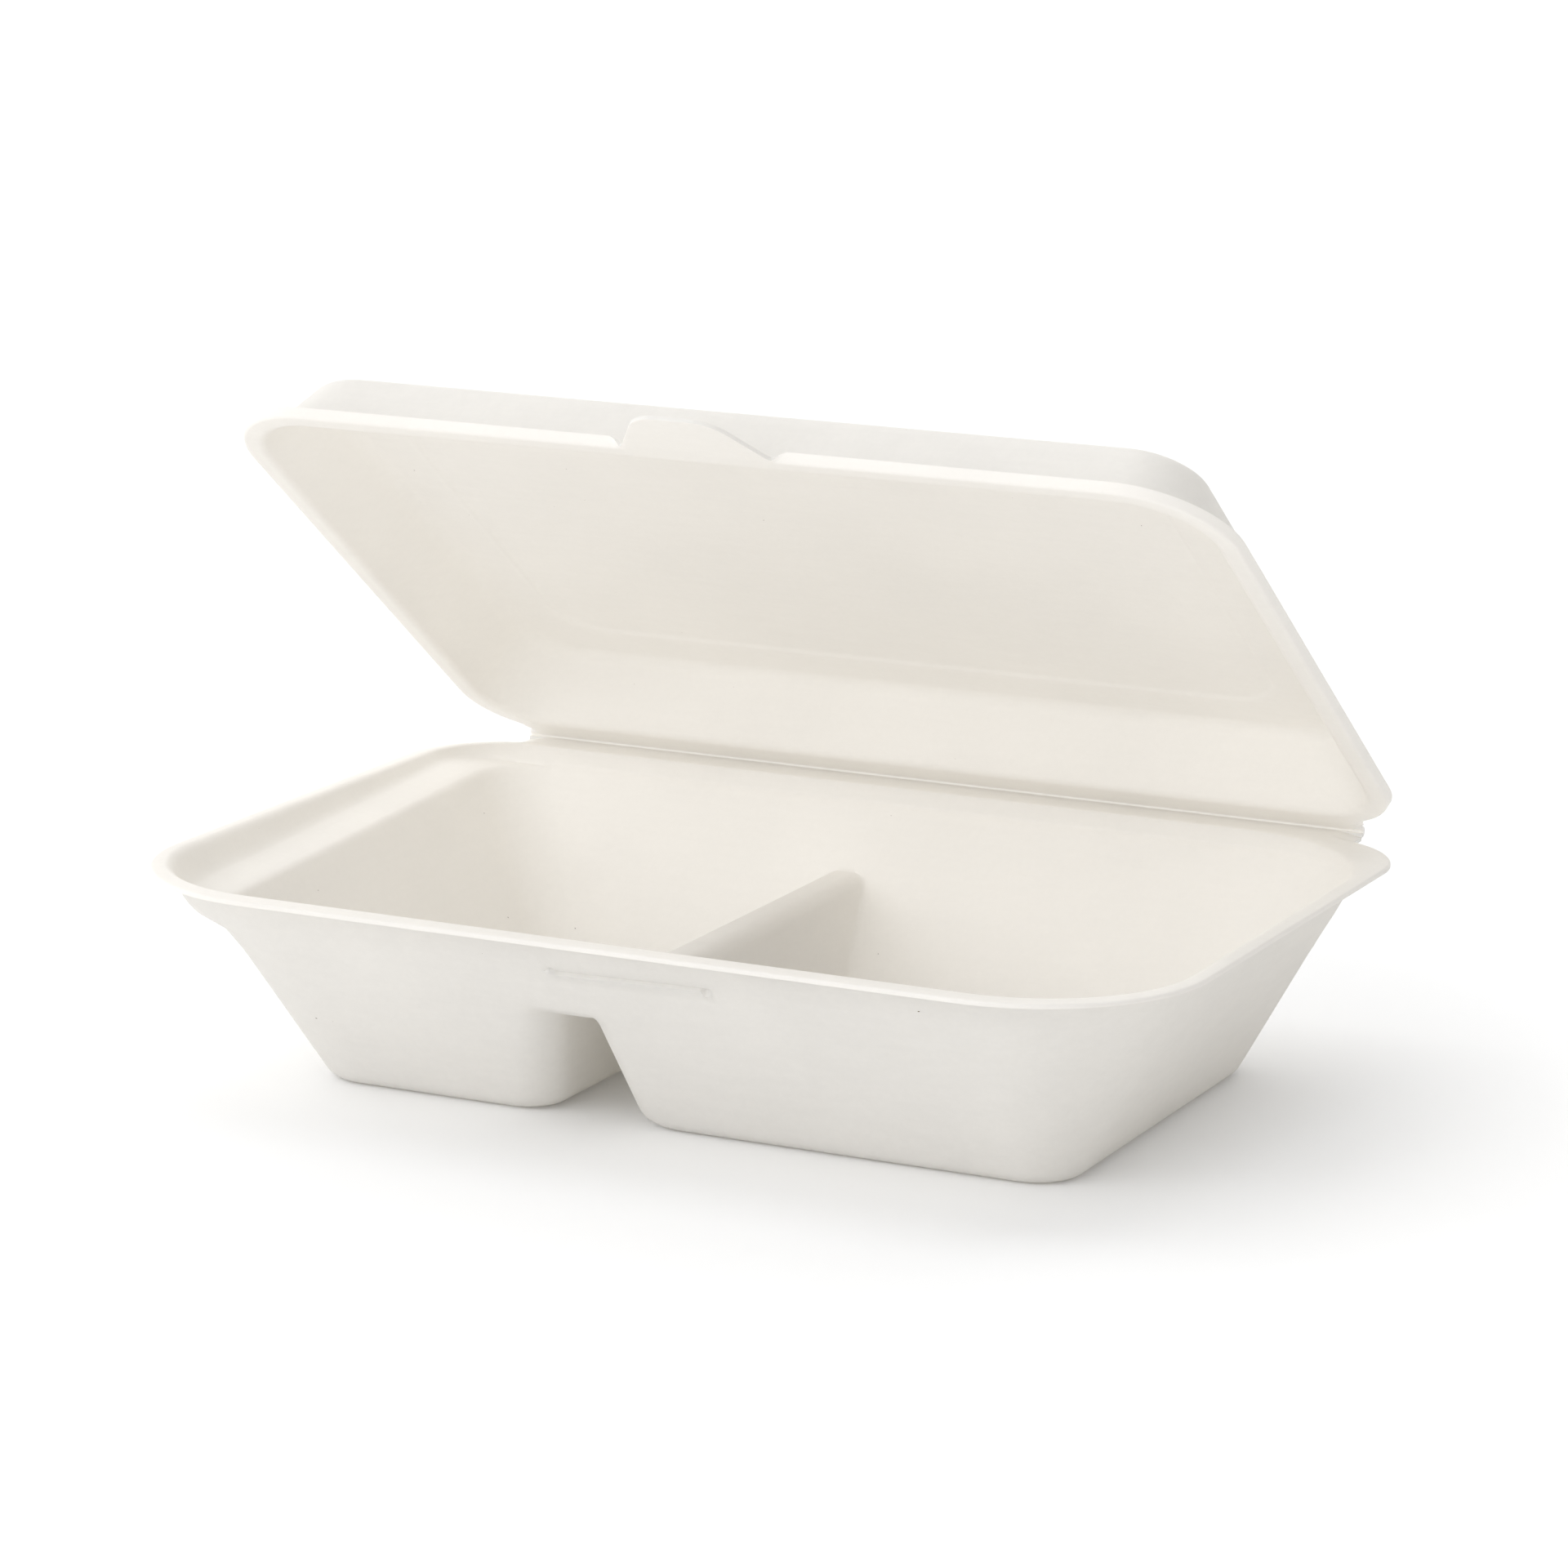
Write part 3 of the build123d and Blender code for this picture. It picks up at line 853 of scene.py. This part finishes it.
def tongue(made, outer, numbers, l):
    """Adds the locking tongue to the front of the lid's outermost ring."""
    base_y = outer[np.argmin(np.abs(outer[:, 0] - l.tongue_middle) + (outer[:, 1] > LID_FRONT_ZONE)), 1]
    tip_y = -l.front - l.tongue_length
    half, tip = l.tongue_base / 2, l.tongue_tip / 2
    middle = l.tongue_middle
    flare = l.tongue_relief
    outline = rounded_path(
        [[middle - half - flare, base_y], [middle - half, base_y], [middle - tip, tip_y], [middle, tip_y]],
        [1.4 * MM, l.tongue_round], 16)
    outline = outline[4:]
    corner = np.argmin(np.abs(outline[:, 1] - (tip_y + 1.2 * MM)))
    front = np.where((outer[:, 1] < LID_FRONT_ZONE) & (np.abs(outer[:, 0] - middle) < half + flare))[0]
    rows = 14
    left = spread(outline[: corner + 1], rows)
    left[0] = outer[front[0], :2]
    half_tip = outline[corner:]
    mirrored = np.column_stack([2 * middle - half_tip[::-1, 0], half_tip[::-1, 1]])
    top = spread(np.concatenate([half_tip, mirrored[1:]]), len(front) - 1)
    right = np.column_stack([2 * middle - left[:, 0], left[:, 1]])
    right[0] = outer[front[-1], :2]
    plan = patch(outer[front, :2], top, left, right)
    points = np.concatenate([plan, np.full(plan.shape[:2] + (1,), outer[front[0], 2])], axis=2)
    made.cover(np.vstack([numbers[front], made.add(points[1:])]))


def link(data, name):
    """A new object at the origin."""
    made = bpy.data.objects.new(name, data)
    bpy.context.scene.collection.objects.link(made)
    return made


def settled(obj):
    """Replaces an object's mesh by what its modifiers make of it, and removes them."""
    bpy.context.view_layer.update()
    evaluated = obj.evaluated_get(bpy.context.evaluated_depsgraph_get())
    data = bpy.data.meshes.new_from_object(evaluated)
    obj.modifiers.clear()
    obj.data = data
    return obj


def give_thickness(obj, sheet, materials, bevel=True):
    """Thickens a sheet away from the food and rounds its trimmed edges."""
    for material in materials:
        obj.data.materials.append(material)
    solid = obj.modifiers.new("thickness", "SOLIDIFY")
    solid.thickness = sheet.thickness
    solid.offset = -1
    solid.use_even_offset = True
    solid.material_offset = 1
    solid.material_offset_rim = 1
    settled(obj)
    trimmed_angle = math.radians(50)
    mesh = bmesh.new()
    mesh.from_mesh(obj.data)
    sharp = []
    for edge in mesh.edges:
        if len(edge.link_faces) == 2 and edge.calc_face_angle(0) > trimmed_angle:
            if all(near_crease(v.co) for v in edge.verts):
                edge.smooth = False
            else:
                sharp.append(edge)
    if bevel:
        bmesh.ops.bevel(
            mesh, geom=sharp, offset=sheet.edge_round, segments=2, profile=0.5, affect="EDGES",
            clamp_overlap=True)
    for face in mesh.faces:
        face.smooth = True
    mesh.to_mesh(obj.data)
    mesh.free()
    return obj


def near_crease(point):
    """True within the bending strip at the crease."""
    return math.hypot(point[1] - CREASE_Y, point[2] - RIM_HEIGHT) < CREASE_ZONE


class Nodes:
    """Short ways to add nodes to a tree and link them."""

    def __init__(self, tree):
        self.tree = tree

    def add(self, kind, sockets=None, **settings):
        """A node with its settings, and with its sockets linked or set."""
        node = self.tree.nodes.new(kind)
        for key, value in settings.items():
            setattr(node, key, value)
        for key, value in (sockets or {}).items():
            if isinstance(value, bpy.types.NodeSocket):
                self.tree.links.new(value, node.inputs[key])
            else:
                node.inputs[key].default_value = value
        return node

    def math(self, operation, first, second=0.0, third=0.0):
        """A value from a Math node."""
        return self.add("ShaderNodeMath", {0: first, 1: second, 2: third}, operation=operation).outputs[0]

    def mix(self, factor, first, second):
        """A shader between two others."""
        return self.add("ShaderNodeMixShader", {0: factor, 1: first, 2: second}).outputs["Shader"]

    def close(self, geometry, material):
        """Ends the tree in Realize Instances and Set Material."""
        real = self.add("GeometryNodeRealizeInstances", {"Geometry": geometry})
        dressed = self.add("GeometryNodeSetMaterial", {
            "Geometry": real.outputs["Geometry"], "Material": material})
        self.add("NodeGroupOutput", {"Geometry": dressed.outputs["Geometry"]})


def empty_nodes(owner):
    """The emptied nodes of a material or of the world."""
    owner.use_nodes = True
    owner.node_tree.nodes.clear()
    return Nodes(owner.node_tree)


def fibre(name, colour_value, look, glow, grain_share=1.0):
    """Moulded sugarcane fibre: matt, finely grained, faintly mottled, with pale threads in it."""
    material = bpy.data.materials.new(name)
    n = empty_nodes(material)
    place = n.add("ShaderNodeTexCoord").outputs["Object"]

    def noise(scale, detail, rough, stretch=(1, 1, 1), turn=(0, 0, 0)):
        mapping = n.add("ShaderNodeMapping", {"Vector": place, "Scale": stretch, "Rotation": turn})
        sockets = {"Vector": mapping.outputs["Vector"], "Scale": scale, "Detail": detail, "Roughness": rough}
        return n.add("ShaderNodeTexNoise", sockets).outputs["Fac"]

    def span(source, low, high, to_low, to_high):
        sockets = {"Value": source, "From Min": low, "From Max": high, "To Min": to_low, "To Max": to_high}
        return n.add("ShaderNodeMapRange", sockets).outputs["Result"]

    cloud = noise(26, 3, 0.5)
    speckle = noise(900, 4, 0.6)
    threads = noise(420, 3, 0.65, (1, 0.16, 1), (0.4, 0.2, 0.7))
    crossed = noise(420, 3, 0.65, (0.16, 1, 1), (0.1, 0.5, -0.5))
    base = np.array(colour_value)
    dark = base * (1 - 0.10 * look.mottle)
    light = np.minimum(base * (1 + 0.06 * look.mottle), 1)
    share = n.math("ADD", span(cloud, 0.35, 0.65, 0, 0.45), span(speckle, 0.3, 0.7, 0, 0.35))
    share = n.math("ADD", share, span(n.math("MULTIPLY", threads, crossed), 0.15, 0.35, -0.1, 0.3))
    mottled = n.add("ShaderNodeMix", {"Factor": share, "A": (*dark, 1), "B": (*light, 1)}, data_type="RGBA")
    tone = mottled.outputs["Result"]

    fine = n.math("ADD", n.math("MULTIPLY", speckle, 0.5), n.math("MULTIPLY", threads, 0.3))
    fine = n.math("ADD", fine, n.math("MULTIPLY", noise(3200, 2, 0.5), 0.3))
    bump = n.add("ShaderNodeBump", {
        "Strength": look.grain * grain_share, "Distance": 0.25 * MM, "Height": fine})
    matt = n.add("ShaderNodeBsdfPrincipled", {
        "Base Color": tone, "Roughness": look.roughness, "Specular IOR Level": 0.3,
        "Normal": bump.outputs["Normal"]})
    warmed = n.add("ShaderNodeMix", {
        "Factor": 1, "A": tone, "B": (*look.glow_tint, 1)}, data_type="RGBA", blend_type="MULTIPLY")
    through = n.add("ShaderNodeBsdfTranslucent", {"Color": warmed.outputs["Result"]})
    n.add("ShaderNodeOutputMaterial", {"Surface": n.mix(glow, matt.outputs["BSDF"], through.outputs["BSDF"])})
    return material


def fibre_materials(look):
    """The two sides of the sheet, made once."""
    outer_grain = 1.3
    made = bpy.data.materials.get
    inside = made("fibre_inside") or fibre("fibre_inside", look.inside, look, look.glow)
    outside = made("fibre_outside") or fibre(
        "fibre_outside", look.outside, look, look.outer_glow, outer_grain)
    return [inside, outside]


def husk_material():
    """Dark husk in the fibre."""
    material = bpy.data.materials.new("husk")
    material.use_nodes = True
    shader = material.node_tree.nodes["Principled BSDF"]
    shader.inputs["Base Color"].default_value = (0.16, 0.12, 0.085, 1)
    shader.inputs["Roughness"].default_value = 0.85
    shader.inputs["Specular IOR Level"].default_value = 0.2
    return material


class CLAMSHELL_OT_tray(bpy.types.Operator):
    """Adds the tray: two compartments, the divider, the shelf, the lip and the lock slit"""

    bl_idname = "clamshell.tray"
    bl_label = "Tray"

    def execute(self, context):
        scene = context.scene
        tray = link(tray_sheet(scene.clamshell_tray, scene.clamshell_sheet), "tray_sheet")
        give_thickness(tray, scene.clamshell_sheet, fibre_materials(scene.clamshell_look))
        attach(tray, "tray")
        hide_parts("tray")
        return {"FINISHED"}


class CLAMSHELL_OT_lid(bpy.types.Operator):
    """Adds the lid with its dome, turned-up edge and locking tongue, standing open"""

    bl_idname = "clamshell.lid"
    bl_label = "Lid"

    def execute(self, context):
        scene = context.scene
        sizes = scene.clamshell_lid
        made = lid_sheet(sizes, scene.clamshell_sheet)
        data = made.mesh("lid_sheet")
        opening = Matrix.Rotation(-sizes.open_angle, 4, "X")
        data.transform(Matrix.Translation((0, CREASE_Y, RIM_HEIGHT)) @ opening)
        lid = link(data, "lid_sheet")
        give_thickness(lid, scene.clamshell_sheet, fibre_materials(scene.clamshell_look))
        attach(lid, "lid")
        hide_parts("lid")
        return {"FINISHED"}


def node_tree(name, inputs):
    """A Geometry Nodes tree with a geometry socket at each end and its own named inputs."""
    tree = bpy.data.node_groups.new(name, "GeometryNodeTree")
    tree.interface.new_socket("Geometry", in_out="INPUT", socket_type="NodeSocketGeometry")
    tree.interface.new_socket("Geometry", in_out="OUTPUT", socket_type="NodeSocketGeometry")
    for label, kind in inputs:
        tree.interface.new_socket(label, in_out="INPUT", socket_type=kind)
    return tree


def run_tree(tree, name, data, values):
    """A plain mesh object with what the tree makes of a mesh and of the values for its named inputs."""
    made = link(data, name)
    modifier = made.modifiers.new(name, "NODES")
    modifier.node_group = tree
    for item in tree.interface.items_tree:
        if item.in_out == "INPUT" and item.name in values:
            modifier[item.identifier] = values[item.name]
    return settled(made)


def crease_tree():
    """The strip of sheet that bends along the crease, as a sweep of its bend along the hinge line."""
    tree = node_tree("hinge crease", [
        ("Half length", "NodeSocketFloat"), ("Straight", "NodeSocketFloat"),
        ("Bend radius", "NodeSocketFloat"), ("Bend angle", "NodeSocketFloat"),
        ("Material", "NodeSocketMaterial")])
    n = Nodes(tree)
    ins = n.add("NodeGroupInput").outputs
    straight, radius, angle = ins["Straight"], ins["Bend radius"], ins["Bend angle"]
    arc = n.math("MULTIPLY", radius, angle)
    whole = n.math("MULTIPLY_ADD", straight, 2.0, arc)
    grid = n.add("GeometryNodeMeshGrid", {
        "Size X": n.math("MULTIPLY", ins["Half length"], 2.0), "Size Y": whole,
        "Vertices X": 87, "Vertices Y": 25})
    place = n.add("GeometryNodeInputPosition")
    parts = n.add("ShaderNodeSeparateXYZ", {"Vector": place.outputs["Position"]})
    along = n.math("MULTIPLY_ADD", whole, 0.5, parts.outputs["Y"])
    share = n.math("DIVIDE", n.math("SUBTRACT", along, straight), arc)
    bent = n.add("ShaderNodeClamp", {"Value": share, "Min": 0.0, "Max": 1.0}).outputs["Result"]
    turn = n.math("MULTIPLY", bent, angle)
    before = n.math("MINIMUM", along, straight)
    after = n.math("MAXIMUM", n.math("SUBTRACT", n.math("SUBTRACT", along, straight), arc), 0.0)
    reach = n.math("MULTIPLY_ADD", radius, n.math("SINE", turn), before)
    reach = n.math("MULTIPLY_ADD", after, n.math("COSINE", angle), reach)
    rise = n.math("MULTIPLY", radius, n.math("SUBTRACT", 1.0, n.math("COSINE", turn)))
    rise = n.math("MULTIPLY_ADD", after, n.math("SINE", angle), rise)
    spot = n.add("ShaderNodeCombineXYZ", {"X": parts.outputs["X"], "Y": reach, "Z": rise})
    moved = n.add("GeometryNodeSetPosition", {
        "Geometry": grid.outputs["Mesh"], "Position": spot.outputs["Vector"]})
    n.close(moved.outputs["Geometry"], ins["Material"])
    return tree


def fleck_tree():
    """Small dark flecks of husk, scattered over the surface of the sheet."""
    tree = node_tree("husk flecks", [
        ("Density", "NodeSocketFloat"), ("Length", "NodeSocketFloat"), ("Seed", "NodeSocketInt"),
        ("Half width", "NodeSocketFloat"), ("Half depth", "NodeSocketFloat"),
        ("Lowest", "NodeSocketFloat"), ("Highest", "NodeSocketFloat"), ("Material", "NodeSocketMaterial")])
    n = Nodes(tree)
    ins = n.add("NodeGroupInput").outputs
    place = n.add("GeometryNodeInputPosition")
    parts = n.add("ShaderNodeSeparateXYZ", {"Vector": place.outputs["Position"]}).outputs
    beside = n.math("LESS_THAN", n.math("ABSOLUTE", parts["X"]), ins["Half width"])
    before = n.math("LESS_THAN", n.math("ABSOLUTE", parts["Y"]), ins["Half depth"])
    above = n.math("GREATER_THAN", parts["Z"], ins["Lowest"])
    below = n.math("LESS_THAN", parts["Z"], ins["Highest"])
    within = n.math("MULTIPLY", n.math("MULTIPLY", beside, before), n.math("MULTIPLY", above, below))
    scattered = n.add("GeometryNodeDistributePointsOnFaces", {
        "Mesh": ins["Geometry"], "Selection": within, "Density": ins["Density"], "Seed": ins["Seed"]},
        distribute_method="RANDOM")
    fleck = n.add("GeometryNodeMeshIcoSphere", {"Radius": 0.5, "Subdivisions": 2})
    spin = n.add("FunctionNodeRandomValue", {
        "Max": (0.0, 0.0, 2 * math.pi), "Seed": n.math("ADD", ins["Seed"], 1.0)}, data_type="FLOAT_VECTOR")
    turned = n.add("FunctionNodeRotateRotation", {
        "Rotation": scattered.outputs["Rotation"], "Rotate By": spin.outputs["Value"]},
        rotation_space="LOCAL")
    size = n.add("FunctionNodeRandomValue", {
        2: 0.0, 3: 1.0, "Seed": n.math("ADD", ins["Seed"], 2.0)}, data_type="FLOAT")
    grown = n.math("POWER", size.outputs[1], 2.5)
    long = n.math("MULTIPLY", ins["Length"], n.math("MULTIPLY_ADD", grown, 0.75, 0.25))
    wide = n.math("MULTIPLY", long, 0.5)
    flat = n.math("MULTIPLY", long, 0.1)
    scale = n.add("ShaderNodeCombineXYZ", {"X": long, "Y": wide, "Z": flat})
    placed = n.add("GeometryNodeInstanceOnPoints", {
        "Points": scattered.outputs["Points"], "Instance": fleck.outputs["Mesh"],
        "Rotation": turned.outputs["Rotation"], "Scale": scale.outputs["Vector"]})
    n.close(placed.outputs["Instances"], ins["Material"])
    return tree


class CLAMSHELL_OT_crease(bpy.types.Operator):
    """Adds the strip of the sheet that bends along the hinge crease"""

    bl_idname = "clamshell.crease"
    bl_label = "Hinge crease"

    def execute(self, context):
        scene = context.scene
        sheet = scene.clamshell_sheet
        reach = sheet.web_reach
        open_angle = scene.clamshell_lid.open_angle
        turn = math.pi - open_angle
        radius = sheet.bend_ease / math.tan(turn / 2)
        inside, outside = fibre_materials(scene.clamshell_look)
        web = run_tree(crease_tree(), "hinge_web", bpy.data.meshes.new("hinge_web"), {
            "Half length": sheet.hinge_half, "Straight": reach - sheet.bend_ease,
            "Bend radius": radius, "Bend angle": turn, "Material": inside})
        web.data.transform(Matrix.Translation((0, CREASE_Y - reach, RIM_HEIGHT)))
        give_thickness(web, sheet, [outside], bevel=False)
        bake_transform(web)
        return {"FINISHED"}


class CLAMSHELL_OT_flecks(bpy.types.Operator):
    """Scatters small dark flecks of husk over the sheet of both halves"""

    bl_idname = "clamshell.flecks"
    bl_label = "Flecks"

    def execute(self, context):
        scene = context.scene
        look = scene.clamshell_look
        husk = husk_material()
        tree = fleck_tree()
        edge = 3 * MM
        for offset, body in enumerate(("tray", "lid")):
            data = bpy.data.objects[body + "_sheet"].data.copy()
            flecks = run_tree(tree, body + "_flecks", data, {
                "Density": look.fleck_density, "Length": look.fleck_size, "Seed": look.seed + offset,
                "Half width": LIP_SIDE - edge, "Half depth": CAD_BOX[1][1] - edge,
                "Lowest": edge, "Highest": CAD_BOX[1][2] - edge, "Material": husk})
            for face in flecks.data.polygons:
                face.use_smooth = True
            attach(flecks, body)
        return {"FINISHED"}


class CLAMSHELL_OT_studio(bpy.types.Operator):
    """Sets up the floor, the lights and the camera"""

    bl_idname = "clamshell.studio"
    bl_label = "Studio"

    def execute(self, context):
        scene = context.scene
        studio = scene.clamshell_studio
        add_floor(studio)
        add_lights(studio)
        add_camera(studio, scene.clamshell_tray)
        scene.view_settings.view_transform = "Standard"
        return {"FINISHED"}


def add_floor(studio):
    """A wide white floor that keeps the container's shadow."""
    below = 0.02 * MM
    half = studio.floor_half
    data = bpy.data.meshes.new("floor")
    corners = [(-half, -half, 0), (half, -half, 0), (half, half, 0), (-half, half, 0)]
    data.from_pydata(corners, [], [(0, 1, 2, 3)])
    floor = link(data, "floor")
    floor.location.z = -below
    material = bpy.data.materials.new("floor")
    n = empty_nodes(material)
    paper = n.add("ShaderNodeBsdfDiffuse", {"Color": (*[studio.floor_shade] * 3, 1)})
    white = n.add("ShaderNodeBsdfDiffuse", {"Color": (*[studio.seen_shade] * 3, 1)})
    lift = n.add("ShaderNodeEmission", {"Strength": studio.seen_lift})
    lifted = n.add("ShaderNodeAddShader", {0: white.outputs["BSDF"], 1: lift.outputs["Emission"]})
    surface = n.mix(seen_directly(n), paper.outputs["BSDF"], lifted.outputs["Shader"])
    n.add("ShaderNodeOutputMaterial", {"Surface": surface})
    floor.data.materials.append(material)


def seen_directly(n):
    """A socket that is 1 for what the camera sees, also in a shiny surface or through a clear one.

    It is 0 for light that the fibre scatters, so that the white background adds none to the container.
    """
    rays = n.add("ShaderNodeLightPath").outputs
    seen = n.math("MAXIMUM", rays["Is Camera Ray"], rays["Is Glossy Ray"])
    seen = n.math("MAXIMUM", seen, rays["Is Transmission Ray"])
    return n.math("GREATER_THAN", seen, rays["Is Diffuse Ray"])


def direction(azimuth, elevation):
    """A unit vector from the object towards the camera or a light."""
    flat = math.cos(elevation)
    return Vector((math.sin(azimuth) * flat, -math.cos(azimuth) * flat, math.sin(elevation)))


def add_lights(studio):
    """Even white light, and large soft lights from the back left, the left and the front."""
    world = bpy.data.worlds.new("studio")
    n = empty_nodes(world)
    even = n.add("ShaderNodeBackground", {"Color": (1, 1, 1, 1), "Strength": studio.sky})
    white = n.add("ShaderNodeBackground", {"Color": (1, 1, 1, 1), "Strength": 1.0})
    surface = n.mix(seen_directly(n), even.outputs["Background"], white.outputs["Background"])
    n.add("ShaderNodeOutputWorld", {"Surface": surface})
    bpy.context.scene.world = world
    for name, (azimuth, elevation, width) in LIGHTS.items():
        lamp = bpy.data.lights.new(name, "SUN")
        lamp.energy = getattr(studio, name)
        lamp.angle = math.radians(width)
        holder = link(lamp, name)
        towards = direction(math.radians(azimuth), math.radians(elevation))
        holder.rotation_euler = towards.to_track_quat("Z", "Y").to_euler()
        holder.location = towards * 2


def add_camera(studio, tray):
    """The camera, at the place that the photograph was taken from."""
    roll = studio.roll
    back = direction(studio.azimuth, studio.elevation)
    target = Vector((TARGET[0], TARGET[1] + rim_middle_y(tray), TARGET[2]))
    right = (-back).cross(Vector((0, 0, 1))).normalized()
    up = right.cross(-back)
    turned_right = math.cos(roll) * right + math.sin(roll) * up
    turned_up = -math.sin(roll) * right + math.cos(roll) * up
    data = bpy.data.cameras.new("camera")
    data.sensor_width = 36
    data.lens = studio.lens
    data.clip_start = 0.05
    data.clip_end = 60
    camera = link(data, "camera")
    turn = Matrix((turned_right, turned_up, back)).transposed().to_4x4()
    camera.matrix_world = Matrix.Translation(target + back * studio.distance) @ turn
    bpy.context.scene.camera = camera


class CLAMSHELL_PT_panel(bpy.types.Panel):
    """Lists the container's pieces"""

    bl_label = "Clamshell container"
    bl_space_type = "VIEW_3D"
    bl_region_type = "UI"
    bl_category = "Clamshell"

    def draw(self, context):
        for operator in OPERATORS:
            self.layout.operator(operator.bl_idname)


GROUPS = {
    "clamshell_sheet": SheetSizes,
    "clamshell_tray": TraySizes,
    "clamshell_lid": LidSizes,
    "clamshell_look": FibreLook,
    "clamshell_studio": StudioSettings,
}
OPERATORS = (
    CLAMSHELL_OT_tray, CLAMSHELL_OT_lid, CLAMSHELL_OT_crease, CLAMSHELL_OT_flecks, CLAMSHELL_OT_studio)


def register():
    for group in GROUPS.values():
        bpy.utils.register_class(group)
    for operator in OPERATORS:
        bpy.utils.register_class(operator)
    bpy.utils.register_class(CLAMSHELL_PT_panel)
    for name, group in GROUPS.items():
        setattr(bpy.types.Scene, name, PointerProperty(type=group))


def unregister():
    for name in GROUPS:
        delattr(bpy.types.Scene, name)
    bpy.utils.unregister_class(CLAMSHELL_PT_panel)
    for operator in reversed(OPERATORS):
        bpy.utils.unregister_class(operator)
    for group in reversed(list(GROUPS.values())):
        bpy.utils.unregister_class(group)


def main():
    register()
    bpy.ops.clamshell.tray()
    bpy.ops.clamshell.lid()
    bpy.ops.clamshell.crease()
    bpy.ops.clamshell.flecks()
    bpy.ops.clamshell.studio()


if __name__ == "__main__":
    main()
